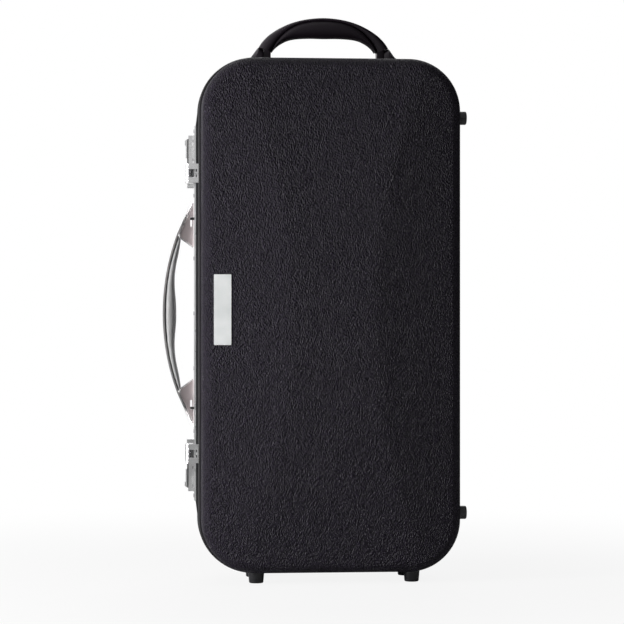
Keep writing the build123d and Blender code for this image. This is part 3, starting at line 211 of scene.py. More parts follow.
# A pale non-metal colour for the die-cast brackets' beads: painted highlight along their edges
EDGE_PAINTED_HIGHLIGHT = moulded("bracket_edge_painted_highlight", (0.86, 0.83, 0.83), 0.3, 1300.0, 0.000004)
STRAP = metal("strap_steel", (0.45, 0.435, 0.435), 0.42, (1.0, 1.0, 0.05), 0.000008, Specular_Tint=DULL)
LUG = moulded("lug_black", (0.008, 0.008, 0.008), 0.35)
GRIP = moulded("grip_rubber", (0.34, 0.34, 0.34), 0.6, 1300.0, 0.00003, Specular_IOR_Level=0.5)
ARCH = moulded("arch_rubber", (0.0150, 0.0098, 0.0160), 0.42, 1500.0, 0.00004, Specular_IOR_Level=0.4)
SOFT_GRIP = moulded("arch_grip_rubber", (0.0066, 0.0030, 0.0070), 0.6, 900.0, 0.00007,
                    Specular_IOR_Level=0.3)
FOOT_GLOSS = moulded("foot_gloss", (0.012, 0.012, 0.014), 0.18, 1400.0, 0.00001)
# Also used for the dark blocks in the lock windows, as painted shade
FOOT_SATIN_AND_WINDOW_SHADE = moulded("foot_satin", (0.045, 0.045, 0.048), 0.42)

CAD_MATERIALS = {
    LEATHER: ["base_shell"],
    RIM: ["rail_seat"],
    SEAL: ["gasket"],
    RAIL: ["side_rail"],
    PLATE: ["name_plate"],
    CHROME: ["upper_lock_body", "lower_lock_body", "upper_lock_slider", "lower_lock_slider",
             "upper_hasp", "lower_hasp", "upper_hasp_bracket", "lower_hasp_bracket",
             "upper_hasp_pin", "lower_hasp_pin", "hasp_bracket_rivets"],
    SCREW: ["rail_screws", "lock_screws", "lid_foot_screws", "base_foot_screws",
            "top_handle_screws", "top_handle_pins", "handle_rivets"],
    HINGE: ["base_hinge_leaves", "lid_hinge_leaves", "hinge_pins", "base_hinge_screws",
            "lid_hinge_screws"],
    STRAP: ["handle_strap"],
    LUG: ["handle_lugs"],
    FOOT_GLOSS: ["lid_bottom_feet", "base_bottom_feet"],
    FOOT_SATIN_AND_WINDOW_SHADE: ["lid_side_feet", "base_side_feet"],
}
for painted, names in CAD_MATERIALS.items():
    for name in names:
        mesh = nodes[name].data
        mesh.materials.clear()
        mesh.materials.append(painted)


def soften(names, width, segments=2):
    """Round the hard edges of CAD nodes, so that they catch the light."""
    for name in names:
        flat = nodes[name].modifiers.new("flat", "DECIMATE")
        flat.decimate_type = "DISSOLVE"
        flat.angle_limit = math.radians(0.5)
        edge = nodes[name].modifiers.new("edge", "BEVEL")
        edge.width = width * MM
        edge.segments = segments
        edge.limit_method = "ANGLE"
        edge.angle_limit = math.radians(40.0)
        edge.use_clamp_overlap = True
        edge.harden_normals = False


soften(["side_rail", "name_plate", "base_hinge_leaves", "lid_hinge_leaves"], 0.35)
soften(["upper_lock_body", "lower_lock_body", "upper_lock_slider", "lower_lock_slider",
        "upper_hasp", "lower_hasp", "upper_hasp_bracket", "lower_hasp_bracket"], 0.45, 3)


# Meshes


def piece(name, points, faces, material, body, replaced=()):
    """Make a smooth mesh from points in the case's own frame, and let it ride on a body."""
    mesh = bpy.data.meshes.new(name)
    mesh.from_pydata([at(*p) for p in points], [], faces)
    mesh.validate()
    shape = bmesh.new()
    shape.from_mesh(mesh)
    bmesh.ops.recalc_face_normals(shape, faces=shape.faces)
    shape.to_mesh(mesh)
    shape.free()
    for face in mesh.polygons:
        face.use_smooth = True
    mesh.set_sharp_from_angle(angle=SHARP)
    mesh.materials.append(material)
    made = bpy.data.objects.new(name, mesh)
    bpy.context.scene.collection.objects.link(made)
    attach(made, body)
    if replaced:
        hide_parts(*replaced)
    return made


def outline(inset):
    """Points (x, z) round the body's outline moved in by a margin, always as many."""
    return rounded(HALF_WIDTH - inset, HALF_HEIGHT - inset, max(RADIUS - inset, 1.0))


def rounded(half_x, half_z, radius):
    """Points (x, z) round a rectangle with rounded corners, from its middle right, upward."""
    flat_x, flat_z = half_x - radius, half_z - radius
    points = []
    for way_x, way_z, quarter in ((1, 1, 0), (-1, 1, 1), (-1, -1, 2), (1, -1, 3)):
        for step in range(TURN_STEPS + 1):
            angle = math.radians(90 * (quarter + step / TURN_STEPS))
            points.append((way_x * flat_x + radius * math.cos(angle),
                           way_z * flat_z + radius * math.sin(angle)))
        count = END_STEPS if quarter % 2 == 0 else SIDE_STEPS
        for step in range(1, 2 * count):
            share = 1 - step / count
            if quarter == 0:
                points.append((flat_x * share, half_z))
            elif quarter == 1:
                points.append((-half_x, flat_z * share))
            elif quarter == 2:
                points.append((-flat_x * share, -half_z))
            else:
                points.append((half_x, -flat_z * share))
    return points


def loft(rings, closed=False):
    """Faces between rings of points that have as many points each."""
    count = len(rings[0])
    points = [p for ring in rings for p in ring]
    faces = []
    last = len(rings) if closed else len(rings) - 1
    for k in range(last):
        low, high = k * count, (k + 1) % len(rings) * count
        for i in range(count):
            j = (i + 1) % count
            faces.append((low + i, low + j, high + j, high + i))
    return points, faces


def capped(rings):
    """A loft whose two ends are each closed by one face."""
    points, faces = loft(rings)
    count = len(rings[0])
    faces.append(tuple(reversed(range(count))))
    faces.append(tuple(range(len(points) - count, len(points))))
    return points, faces


def joined(shapes):
    """Several closed shapes, each as points and faces, as one."""
    points, faces = [], []
    for more_points, more_faces in shapes:
        shift = len(points)
        points += more_points
        faces += [tuple(shift + k for k in face) for face in more_faces]
    return points, faces


def filleted(corners, radii, steps=5):
    """Round the corners of a closed 2-D polygon."""
    made = []
    total = len(corners)
    for k, (corner, radius) in enumerate(zip(corners, radii)):
        before, after = Vector(corners[k - 1]), Vector(corners[(k + 1) % total])
        corner = Vector(corner)
        if not radius:
            made.append(tuple(corner))
            continue
        to_before, to_after = (before - corner).normalized(), (after - corner).normalized()
        half = to_before.angle(to_after) / 2
        reach = radius / math.tan(half)
        centre = corner + (to_before + to_after).normalized() * radius / math.sin(half)
        start, end = corner + to_before * reach - centre, corner + to_after * reach - centre
        for step in range(steps + 1):
            share = step / steps
            turned = start.lerp(end, share)
            made.append(tuple(centre + turned.normalized() * radius))
    return made


def lid_top(x, z, inset=0.0):
    """Depth of the lid's face: a crowned middle between falling sides, with soft creases."""
    side = LID_DEPTH - inset - (abs(x) - LID_MIDDLE) * LID_FALL
    crown = LID_DEPTH - inset - z * z / (2 * LID_CROWN)
    low, high = min(side, crown), max(side, crown)
    return low - CREASE * math.log1p(math.exp(-(high - low) / CREASE))


# Rings of a lid skin over its rounded edge and over its face, and half the strip left in its middle
EDGE_STEPS, FACE_STEPS, STRIP = 14, 42, 2.0


def lid_skin(inset, start, rounding):
    """Rings over the lid's form, from its open edge to the middle of its face."""
    rings = []
    for depth in (start, start + 4.0, LID_COLLAR - 0.5, LID_COLLAR, LID_COLLAR + 1.0, 24.0, 30.0, 36.0,
                  39.0, LID_SHOULDER):
        draw = inset + max(0.0, depth - LID_COLLAR) * LID_DRAFT
        rings.append([(x, -depth, z) for x, z in outline(draw)])
    for step in range(1, EDGE_STEPS + 1):
        angle = math.radians(90 * step / EDGE_STEPS)
        moved = inset + (LID_SHOULDER - LID_COLLAR) * LID_DRAFT + rounding * (1 - math.cos(angle) ** 1.15)
        rise = math.sin(angle)
        ring = []
        for x, z in outline(moved):
            top = lid_top(x, z, inset)
            ring.append((x, -(LID_SHOULDER + (top - LID_SHOULDER) * rise), z))
        rings.append(ring)
    first = moved
    for step in range(1, FACE_STEPS + 1):
        moved = first + (HALF_WIDTH - STRIP - first) * step / FACE_STEPS
        rings.append([(x, -lid_top(x, z, inset), z) for x, z in outline(moved)])
    return rings


def across(ring_start, count):
    """Faces that close a long narrow ring by joining its right side to its left."""
    quarter = TURN_STEPS + 1
    after_right = quarter + 2 * END_STEPS - 1
    left = list(range(after_right, after_right + 2 * quarter + 2 * SIDE_STEPS - 1))
    right = [k % count for k in range(count - (2 * SIDE_STEPS - 1) - quarter, count + quarter)]
    faces = []
    for a, b, c, d in zip(left, left[1:], reversed(right[:-1]), reversed(right)):
        faces.append(tuple(ring_start + k for k in (a, b, c, d)))
    return faces


def end_strips():
    """The narrow end strips of a ring, as two faces."""
    quarter = TURN_STEPS + 1
    start = 3 * quarter + 2 * END_STEPS + 2 * SIDE_STEPS - 3
    return [tuple(range(quarter - 1, quarter + 2 * END_STEPS)),
            tuple(range(start, start + 2 * END_STEPS + 1))]


def closed_skin(outer, inner):
    """A shell between two skins that share their open edge, each closed at its middle."""
    count = len(outer[0])
    points, faces = loft(list(reversed(outer)) + inner)
    last = len(points) - count
    faces += across(0, count) + across(last, count)
    for face in end_strips():
        faces += [face, tuple(last + k for k in face)]
    return points, faces


INNER_ROUNDING, LINING_ROUNDING, LINING_START, LINING_GAP = 10.0, 9.0, LID_START + 0.6, 0.15
points, faces = closed_skin(lid_skin(0.0, LID_START, LID_ROUNDING), lid_skin(WALL, LID_START, INNER_ROUNDING))
piece("leather_lid", points, faces, LEATHER, "lid", ["lid_shell"])

lip = [[(x, -(LID_START + depth), z) for x, z in outline(WALL + inset)]
       for inset, depth in ((0.6, 0.2), (2.2, 0.05), (4.0, 0.2))]
points, faces = closed_skin(lid_skin(WALL + LINING_GAP, LINING_START, INNER_ROUNDING),
                            lip + lid_skin(WALL + LINING, LINING_START, LINING_ROUNDING))
lining = piece("plush_lid_lining", points, faces, PLUSH, "lid", ["lid_lining"])


def box_cutter(low, high):
    """A box between two corners in the case's own frame, to cut with."""
    bpy.ops.mesh.primitive_cube_add(size=1.0, location=(at(*low) + at(*high)) / 2)
    made = bpy.context.object
    made.scale = [abs(b - a) * MM for a, b in zip(low, high)]
    return made


def carve(target, cutters):
    """Cut shapes out of a piece and drop the cutters."""
    for cutter in cutters:
        cut = target.modifiers.new("cut", "BOOLEAN")
        cut.operation = "DIFFERENCE"
        cut.object = cutter
        cut.solver = "EXACT"
    bpy.context.view_layer.update()
    shown = target.evaluated_get(bpy.context.evaluated_depsgraph_get())
    carved = bpy.data.meshes.new_from_object(shown)
    target.modifiers.clear()
    carved.set_sharp_from_angle(angle=SHARP)
    target.data = carved
    for cutter in cutters:
        bpy.data.objects.remove(cutter)


KNUCKLE_RADIUS = 2.35


def hinge_cutters(boxes, barrel=False):
    """Cutters for the three hinges, from boxes given as (x low, y low, x high, y high)."""
    made = []
    for hinge in (-1, 0, 1):
        low, high = hinge * HINGE_PITCH - HINGE_LENGTH / 2, hinge * HINGE_PITCH + HINGE_LENGTH / 2
        made += [box_cutter((x0, y0, low), (x1, y1, high)) for x0, y0, x1, y1 in boxes]
        if barrel:
            bpy.ops.mesh.primitive_cylinder_add(vertices=40, radius=KNUCKLE_RADIUS * MM,
                                                depth=HINGE_LENGTH * MM,
                                                location=at(HINGE_X, HINGE_Y, hinge * HINGE_PITCH))
            made.append(bpy.context.object)
    return made


# Seats for the hinge leaves in the rims, as (x low, y low, x high, y high)
LID_SEATS = [(164.8, -9.6, 170.0, 0.0)]
BASE_SEATS = [(165.2, 0.0, 170.0, 4.5), (165.5, 4.4, 170.0, 20.1)]


def rim(name, profile, radii, body, replaced):
    """Sweep a rounded profile, as (growth, y) pairs, round the body's outline."""
    rings = [[(x, y, z) for x, z in outline(-grow)] for grow, y in filleted(profile, radii)]
    points, faces = loft(rings, closed=True)
    return piece(name, points, faces, RIM, body, [replaced])


lid_rim = rim("moulded_lid_rim", [(2.8, -0.5), (2.8, -10.0), (0.0, -10.0), (0.0, -4.0), (-5.0, -4.0),
                                  (-5.0, -0.5)], [0.9, 1.6, 0, 0, 0.8, 0.8], "lid", "lid_rim")
carve(lid_rim, hinge_cutters(LID_SEATS))
base_rim = rim("moulded_base_rim", [(3.5, 0.5), (3.5, 24.0), (0.0, 24.0), (0.0, 4.0), (-5.0, 4.0),
                                    (-5.0, 0.5), (-3.8, 0.5), (-3.8, 2.5), (-1.6, 2.5), (-1.6, 0.5)],
               [0.9, 1.8, 0, 0, 0.6, 0.5, 0, 0, 0, 0], "base", "base_rim")
carve(base_rim, hinge_cutters(BASE_SEATS, barrel=True))


def side_point(out, y, z):
    """A point on the side rail, from its face, the handle's plane and the rail's middle."""
    return (-RAIL_FACE - out, HANDLE_Y + y, RAIL_LIFT + z)


# Black strips in the gaps between the lock bodies and their sliders, open where the slider's neck passes
GAP_STRIP_NEAR, GAP_STRIP_FAR, GAP_STRIP_LOW, GAP_STRIP_HIGH, GAP_STRIP_HALF = 190.8, 221.6, 7.5, 8.9, 6.8
NECK_NEAR, NECK_FAR, NECK_HALF = 199.6, 222.5, 2.4
for name, side in COPIES:
    section = [(GAP_STRIP_LOW, -GAP_STRIP_HALF), (GAP_STRIP_HIGH, -GAP_STRIP_HALF), (GAP_STRIP_HIGH, GAP_STRIP_HALF),
               (GAP_STRIP_LOW, GAP_STRIP_HALF)]
    points, faces = capped([[side_point(out, y, side * z) for out, y in section]
                            for z in (GAP_STRIP_NEAR, GAP_STRIP_FAR)])
    gap_strip = piece(f"{name}_slider_gap_strip", points, faces, LUG, "base", ())
    carve(gap_strip, [box_cutter(side_point(GAP_STRIP_HIGH + 0.6, -NECK_HALF, side * NECK_NEAR),
                             side_point(GAP_STRIP_LOW - 0.5, NECK_HALF, side * NECK_FAR))])


# Coiled springs behind the sliders, built at one fixed length
SPRING_X, SPRING_END, SPRING_LENGTH, SPRING_TRAVEL = -176.0, 222.0, 14.9, 5.0
COIL, WIRE, TURNS = 1.52, 0.25, 9
STEPS_PER_TURN, WIRE_SIDES = 24, 10
for name, side in COPIES:
    far = RAIL_LIFT + side * SPRING_END
    rings = []
    for step in range(STEPS_PER_TURN * TURNS + 1):
        share = step / (STEPS_PER_TURN * TURNS)
        turn = 2 * math.pi * TURNS * share
        along = WIRE + 0.05 + (SPRING_LENGTH - 2 * WIRE - 0.1) * share
        ring = []
        for part in range(WIRE_SIDES):
            around = 2 * math.pi * part / WIRE_SIDES
            reach = COIL + WIRE * math.cos(around)
            ring.append((SPRING_X + reach * math.cos(turn), HANDLE_Y + reach * math.sin(turn),
                         far - side * (along + WIRE * math.sin(around))))
        rings.append(ring)
    points, faces = capped(rings)
    spring = piece(f"{name}_coil_spring", points, faces, SPRING, "base", [f"{name}_lock_spring"])
    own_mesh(spring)


# Dark blocks between the ears of the hasp brackets, beside each knuckle: painted shade for the dark half of
# each lock's window
for name, side in COPIES:
    rings = []
    for z, grow in ((172.7, 0.0), (172.9, 0.25), (182.1, 0.25), (182.3, 0.0)):
        section = filleted([(1.6 - grow, -20.3 - grow), (3.4 + grow, -20.3 - grow),
                            (3.4 + grow, -15.0 + grow), (1.6 - grow, -15.0 + grow)], [0.3] * 4)
        rings.append([side_point(out, y, side * z) for out, y in section])
    points, faces = capped(rings)
    piece(f"{name}_hasp_window_shade", points, faces, FOOT_SATIN_AND_WINDOW_SHADE, "lid", ())


# Slabs with rounded edges: the foam blocks and the bracket plates


def moved_in(corners, radii, inset):
    """Move the sides of a convex polygon inward and round its corners to suit."""
    total = len(corners)
    area = sum(a[0] * b[1] - a[1] * b[0] for a, b in zip(corners, corners[1:] + corners[:1]))
    turn = 1 if area > 0 else -1
    lines = []
    for k in range(total):
        start, end = Vector(corners[k]), Vector(corners[(k + 1) % total])
        along = (end - start).normalized()
        inward = Vector((-along.y, along.x)) * turn
        lines.append((start + inward * inset, along))
    made = []
    for k in range(total):
        (p, u), (q, v) = lines[k - 1], lines[k]
        cross = u.x * v.y - u.y * v.x
        gap = q - p
        made.append(tuple(p + u * ((gap.x * v.y - gap.y * v.x) / cross)))
    return filleted(made, [max(radius - inset, 0.25) for radius in radii], 8)


def slab(corners, radii, levels, place):
    """A slab from a polygon, as rings at (inset, height) levels, closed at both ends."""
    return capped([[place(a, b, height) for a, b in moved_in(corners, radii, inset)]
                   for inset, height in levels])


def foam(name, x_low, x_high, z_low, z_high, radii):
    """A plush-covered foam block of the insert, with a soft top edge."""
    corners = [(x_low, z_low), (x_high, z_low), (x_high, z_high), (x_low, z_high)]
    top = DIVIDER_TOP
    edge = min(3.0, (x_high - x_low) / 2 - 0.1, (z_high - z_low) / 2 - 0.1)
    levels = [(0.0, INSERT_BACK), (0.0, 50.0), (0.0, 35.0), (0.0, top + edge)]
    for step in range(1, 7):
        angle = math.radians(15 * step)
        levels.append((edge * (1 - math.cos(angle)), top + edge * (1 - math.sin(angle))))
    points, faces = slab(corners, radii, levels, lambda x, z, y: (x, y, z))
    made = piece(f"plush_{name}", points, faces, PLUSH, "base", [name])


EDGE = 0.6
foam("wing_divider", -91.0, -85.0, -WINDOW_Z, WINDOW_Z, [EDGE] * 4)
foam("bell_divider", -29.0, -23.0, -WINDOW_Z, WINDOW_Z, [EDGE] * 4)
foam("boot_divider", 49.0, 55.0, -WINDOW_Z, WINDOW_Z, [EDGE] * 4)
foam("wing_block", -WINDOW_X, -91.0, -WINDOW_Z, -207.0, [WINDOW_RADIUS, EDGE, EDGE, EDGE])
foam("boot_block", 55.0, WINDOW_X, 147.0, WINDOW_Z, [EDGE, EDGE, WINDOW_RADIUS, EDGE])
foam("accessory_wall", -23.0, 49.0, 59.0, 65.0, [EDGE] * 4)


def between(share, depth):
    """A ring of the foam frame, from the shell's wall (0) to the window's edge (1)."""
    wall = WALL + 0.1 + max(0.0, depth - 24.0) * math.tan(math.radians(3.0))
    sizes = ((HALF_WIDTH - wall, WINDOW_X), (HALF_HEIGHT - wall, WINDOW_Z),
             (RADIUS - wall, WINDOW_RADIUS))
    half_x, half_z, radius = (low + (high - low) * share for low, high in sizes)
    return [(x, depth, z) for x, z in rounded(half_x, half_z, radius)]


frame_rings = [between(0.0, depth) for depth in (INSERT_BACK, 40.0, 24.0, INSERT_TOP + 1.6)]
frame_rings += [between(0.1, INSERT_TOP + 0.5), between(0.25, INSERT_TOP + 0.05), between(0.5, INSERT_TOP)]
for step in range(7):
    angle = math.radians(15 * step)
    frame_rings.append(between(0.58 + 0.42 * math.sin(angle), INSERT_TOP + 4.2 * (1 - math.cos(angle))))
frame_rings += [between(1.0, 20.0), between(1.0, 45.0), between(1.0, INSERT_BACK)]
points, faces = loft(frame_rings, closed=True)
foam_frame = piece("plush_frame", points, faces, PLUSH, "base", ["foam_frame"])

floor_rings = [between(0.0, 80.8), between(0.0, 75.0), between(0.0, INSERT_BACK + 0.1)]
for share in (0.3, 0.6, 1.0):
    floor_rings.append([(x * 0.99, INSERT_BACK + 0.05, z * 0.995) for x, _, z in between(share, INSERT_BACK)])
for inner in (8, 20, 40, 70, 100, 130, 148):
    floor_rings.append([(x, INSERT_BACK + 0.05, z) for x, z in
                        rounded(WINDOW_X - inner, WINDOW_Z - inner, max(WINDOW_RADIUS - inner, 1.0))])
points, faces = capped(floor_rings)
foam_floor = piece("plush_floor", points, faces, PLUSH, "base", ["foam_floor"])


# Handles


def round_section(centre, half_a, half_b, power, count=28):
    """Points (a, b) round a superellipse."""
    made = []
    for step in range(count):
        angle = 2 * math.pi * step / count
        c, d = math.cos(angle), math.sin(angle)
        made.append((centre + half_a * math.copysign(abs(c) ** (2 / power), c),
                     half_b * math.copysign(abs(d) ** (2 / power), d)))
    return made


def curve_through(knots, count):
    """Points spaced evenly along a smooth line through knots (a, b)."""
    dense = []
    total = len(knots)
    for k in range(total - 1):
        p0 = Vector(knots[max(k - 1, 0)])
        p1, p2 = Vector(knots[k]), Vector(knots[k + 1])
        p3 = Vector(knots[min(k + 2, total - 1)])
        for step in range(24):
            t = step / 24
            dense.append(0.5 * ((2 * p1) + (p2 - p0) * t + (2 * p0 - 5 * p1 + 4 * p2 - p3) * t * t
                                + (3 * p1 - p0 - 3 * p2 + p3) * t ** 3))
    dense.append(Vector(knots[-1]))
    lengths = [0.0]
    for a, b in zip(dense, dense[1:]):
        lengths.append(lengths[-1] + (b - a).length)
    made, k = [], 0
    for step in range(count):
        target = lengths[-1] * step / (count - 1)
        while k < len(lengths) - 2 and lengths[k + 1] < target:
            k += 1
        span = lengths[k + 1] - lengths[k]
        made.append(dense[k].lerp(dense[k + 1], (target - lengths[k]) / span if span else 0.0))
    return made


# Carrying handle: a moulded grip with a full palm side, between two die-cast bracket plates
STRAP_ARC, STRAP_INNER = 290.4, 38.0
GRIP_ENDS, GRIP_SLANT, GRIP_STEPS = 96.2, 2.6, 40
LINE_POINTS = 121
inner = curve_through([(16.9, -96.0), (19.2, -80.0), (23.6, -58.0), (25.0, -38.0), (23.4, -15.0), (22.8, 0.0),
                       (23.4, 15.0), (25.0, 38.0), (23.6, 58.0), (19.2, 80.0), (16.9, 96.0)], LINE_POINTS)
rings = []
for step in range(2 * GRIP_STEPS + 1):
    share = step / GRIP_STEPS - 1
    z = GRIP_ENDS * share
    outer_z = z + GRIP_SLANT * share
    outer = STRAP_INNER - STRAP_ARC + math.sqrt(STRAP_ARC ** 2 - outer_z ** 2) - 0.15
    inner_z = z - GRIP_SLANT * share
    k = max(j for j in range(len(inner) - 1) if inner[j].y <= inner_z or j == 0)
    palm = inner[k].lerp(inner[k + 1], (inner_z - inner[k].y) / (inner[k + 1].y - inner[k].y)).x
    width = 11.3 - 2.6 * abs(share) ** 2.5
    ring = []
    for across_way, y in round_section(0.0, 1.0, width, 2.5, 32):
        side_share = (across_way + 1) / 2
        ring.append(side_point(palm + (outer - palm) * side_share, y,
                               inner_z + (outer_z - inner_z) * side_share))
    rings.append(ring)
points, faces = capped(rings)
piece("moulded_side_grip", points, faces, GRIP, "side_handle", ["handle_grip"])

# How far a bracket's sloping outer edge reaches at its start, and how fast it falls from there
EDGE_REACH, EDGE_START = 21.5, 102.0
SLOPE = (EDGE_REACH - 3.0) / (143.4 - EDGE_START)
PLATE_RADII = [0.9, 4.5, 3.4, 1.4]


# A bracket's slot, and the room for the lug, which leaves a thin bridge at the slot's far end
SLOT_NEAR, SLOT_LOW, SLOT_HIGH, BRIDGE_HALF = 110.5, 2.7, 5.2, 1.3
LUG_NEAR, LUG_FAR, LUG_LOW, LUG_HIGH = 118.5, 122.7, 1.5, 5.5
CUT_FOOT, CUT_HALF = -1.0, 4.0


def slot_cutters(side):
    """Cutters for a bracket's slot and for the lug that it slides on."""
    near, far = side * LUG_NEAR, side * LUG_FAR
    return [box_cutter(side_point(SLOT_LOW, -CUT_HALF, side * SLOT_NEAR),
                       side_point(SLOT_HIGH, CUT_HALF, far)),
            box_cutter(side_point(CUT_FOOT, -CUT_HALF, near), side_point(LUG_LOW, CUT_HALF, far)),
            box_cutter(side_point(CUT_FOOT, -CUT_HALF, near), side_point(LUG_HIGH, -BRIDGE_HALF, far)),
            box_cutter(side_point(CUT_FOOT, BRIDGE_HALF, near), side_point(LUG_HIGH, CUT_HALF, far))]


# (out, along) of a plate's corners, from its far end
PLATE_CORNERS = [(0.9, 143.6), (19.1, 102.6), (18.4, 95.6), (0.9, 82.7)]
# (inset, height) of half a plate's rounded rim, and of the bead that runs along it
PLATE_EDGE = [(0.0, 0.0), (0.0, -1.2), (0.12, -1.5), (0.4, -1.62), (1.0, -1.62), (2.6, -1.62)]
PLATE_BEAD = [(0.0, -1.2), (0.06, -1.9), (0.35, -2.35), (0.85, -2.5), (1.35, -2.35), (1.64, -1.9),
              (1.7, -1.2)]
# The bead stays off the plate's edge along the rail
BEAD_NEAR, BEAD_FAR, BEAD_START = 83.6, 141.2, 2.45
for name, side in COPIES:
    corners = [(out, side * along) for out, along in PLATE_CORNERS]
    levels = [(inset, -height) for inset, height in reversed(PLATE_EDGE[1:])] + PLATE_EDGE
    points, faces = slab(corners, PLATE_RADII, levels, lambda out, z, y: side_point(out, y, z))
    bracket = piece(f"{name}_cast_bracket", points, faces, BRACKET, "side_handle",
                    [f"{name}_handle_bracket"])
    carve(bracket, slot_cutters(side))
    for turn, face_name in ((1, "front"), (-1, "back")):
        bead = [[side_point(out, turn * height, z) for out, z in moved_in(corners, PLATE_RADII, inset)]
                for inset, height in PLATE_BEAD]
        points, faces = loft(bead, closed=True)
        # The bead's pale colour is painted highlight along the bracket's edges
        edge = piece(f"{name}_bracket_{face_name}_edge", points, faces, EDGE_PAINTED_HIGHLIGHT, "side_handle", ())
        carve(edge, [box_cutter(side_point(CUT_FOOT, -CUT_HALF, side * BEAD_NEAR),
                                side_point(BEAD_START, CUT_HALF, side * BEAD_FAR))])
    # The flange takes the darker die-cast, as painted shade under the strap
    rings = []
    for z in (101.0, 102.2, 110.0, 120.0, 130.0, 136.0, 139.5):
        out = EDGE_REACH - 2.0 - max(0.0, z - EDGE_START) * SLOPE
        reach = min(9.2, 2.0 + 0.56 * (out - 3.9))
        section = [(-0.05, -reach), (-0.35, -reach - 0.25), (-1.25, -reach - 0.25), (-1.6, -reach),
                   (-1.6, reach), (-1.25, reach + 0.25), (-0.35, reach + 0.25), (-0.05, reach)]
        rings.append([side_point(out + a, y, side * z) for a, y in section])
    points, faces = capped(rings)
    piece(f"{name}_bracket_flange", points, faces, FLANGE_PAINTED_SHADE, "side_handle", ())


def top_point(u, v, w):
    """A point of the top handle, from its middle on the top of the body."""
    return (TOP_X + u, TOP_Y + v, HALF_HEIGHT + w)


def top_sweep(name, outer_line, inner_line, width, power, material, replaced, extra=()):
    """Loft a bar between two lines (u, w) of as many points, with a rounded section."""
    rings = []
    total = len(outer_line) - 1
    for step, (a, b) in enumerate(zip(outer_line, inner_line)):
        centre, half = (a + b) / 2, (a - b) / 2
        reach = width(abs(2 * step / total - 1))
        ring = []
        for across_way, v in round_section(0.0, 1.0, reach, power):
            spot = centre + half * across_way
            ring.append(top_point(spot.x, v, spot.y))
        rings.append(ring)
    points, faces = joined([capped(rings), *extra])
    return piece(name, points, faces, material, "top_handle", [replaced])


def arch_line(left_half):
    """A smooth line (u, w) from the left to the right, from the knots of its left half."""
    return curve_through(left_half + [(-a, b) for a, b in reversed(left_half[:-1])], LINE_POINTS)


arch_outer = arch_line([(-84.3, 21.4), (-80.9, 26.8), (-76.6, 32.0), (-69.6, 38.4), (-57.6, 46.2),
                        (-42.2, 53.2), (-23.0, 58.1), (0.0, 60.2)])
arch_inner = arch_line([(-67.8, 15.6), (-65.2, 20.6), (-61.2, 27.0), (-54.0, 36.0), (-44.0, 44.6),
                        (-31.0, 51.6), (-16.0, 55.2), (0.0, 56.0)])
# The frame's ends: tongues with a round foot on the pivot's height, a little smaller at their faces
PIVOT, FOOT_RADIUS, TONGUE_MIDDLE = 8.5, 7.0, 9.0
TONGUE = [(FOOT_RADIUS * math.cos(math.radians(a)), PIVOT + FOOT_RADIUS * math.sin(math.radians(a)))
          for a in range(180, 361, 12)]
TONGUE += [(7.4, 13.0), (8.2, 18.6), (-8.2, 18.6), (-7.4, 13.0)]
tongues = []
for side in (-1, 1):
    rings = []
    for u, grow in ((68.7, 0.90), (69.4, 0.97), (70.3, 1.0), (77.2, 1.0), (77.8, 0.98), (78.15, 0.94)):
        rings.append([top_point(side * u, v * grow, TONGUE_MIDDLE + (w - TONGUE_MIDDLE) * grow)
                      for v, w in TONGUE])
    tongues.append(capped(rings))
top_sweep("moulded_arch", arch_outer, arch_inner, lambda share: 9.7 + 0.5 * share, 3.0, ARCH,
          "top_handle_frame", tongues)


def ear_ring(u, top, half):
    """A ring of a top handle ear: an arch round the pivot, cut off at its sides and foot."""
    radius = max(top - PIVOT, 0.5)
    ring = [(-half, -0.6), (-half, min(PIVOT * 0.6, top * 0.6))]
    for step in range(13):
        v = half * (step / 6 - 1) * 0.999
        rise = math.sqrt(max(radius ** 2 - v ** 2, 0.0)) + PIVOT if top > PIVOT + 4 else top
        ring.append((v, max(min(rise, top - 2.2 * abs(v / half) ** 6), 0.1)))
    ring += [(half, min(PIVOT * 0.6, top * 0.6)), (half, -0.6)]
    return [top_point(u, v, w) for v, w in ring]


# (u, top, half width) of an ear, from its inner face outward
EAR = [(78.3, 18.8, 9.6), (78.7, 19.2, 9.8), (81.5, 20.1, 9.9), (83.8, 20.9, 9.9), (84.9, 21.1, 9.9),
       (86.6, 19.2, 9.9), (88.6, 16.4, 9.8), (91.2, 12.8, 9.6), (93.6, 9.5, 9.2), (95.4, 6.2, 8.7),
       (96.5, 3.1, 8.2), (97.2, 0.6, 7.6)]
points, faces = joined([capped([ear_ring(side * u, top, half) for u, top, half in EAR])
                        for side in (-1, 1)])
piece("moulded_arch_ears", points, faces, ARCH, "base", ["top_handle_ears"])

palm_top = arch_line([(-67.2, 17.2), (-63.6, 25.0), (-56.6, 35.2), (-46.4, 45.0), (-34.0, 52.0),
                      (-18.0, 56.4), (0.0, 57.6)])
palm_low = arch_line([(-66.6, 15.8), (-63.4, 19.8), (-57.2, 25.0), (-47.4, 30.2), (-36.0, 32.8),
                      (-18.0, 33.8), (0.0, 33.5)])
top_sweep("soft_arch_grip", palm_top, palm_low, lambda share: 13.0 - 2.8 * share ** 2.6, 2.3, SOFT_GRIP,
          "top_handle_grip")

# Camera, light and floor

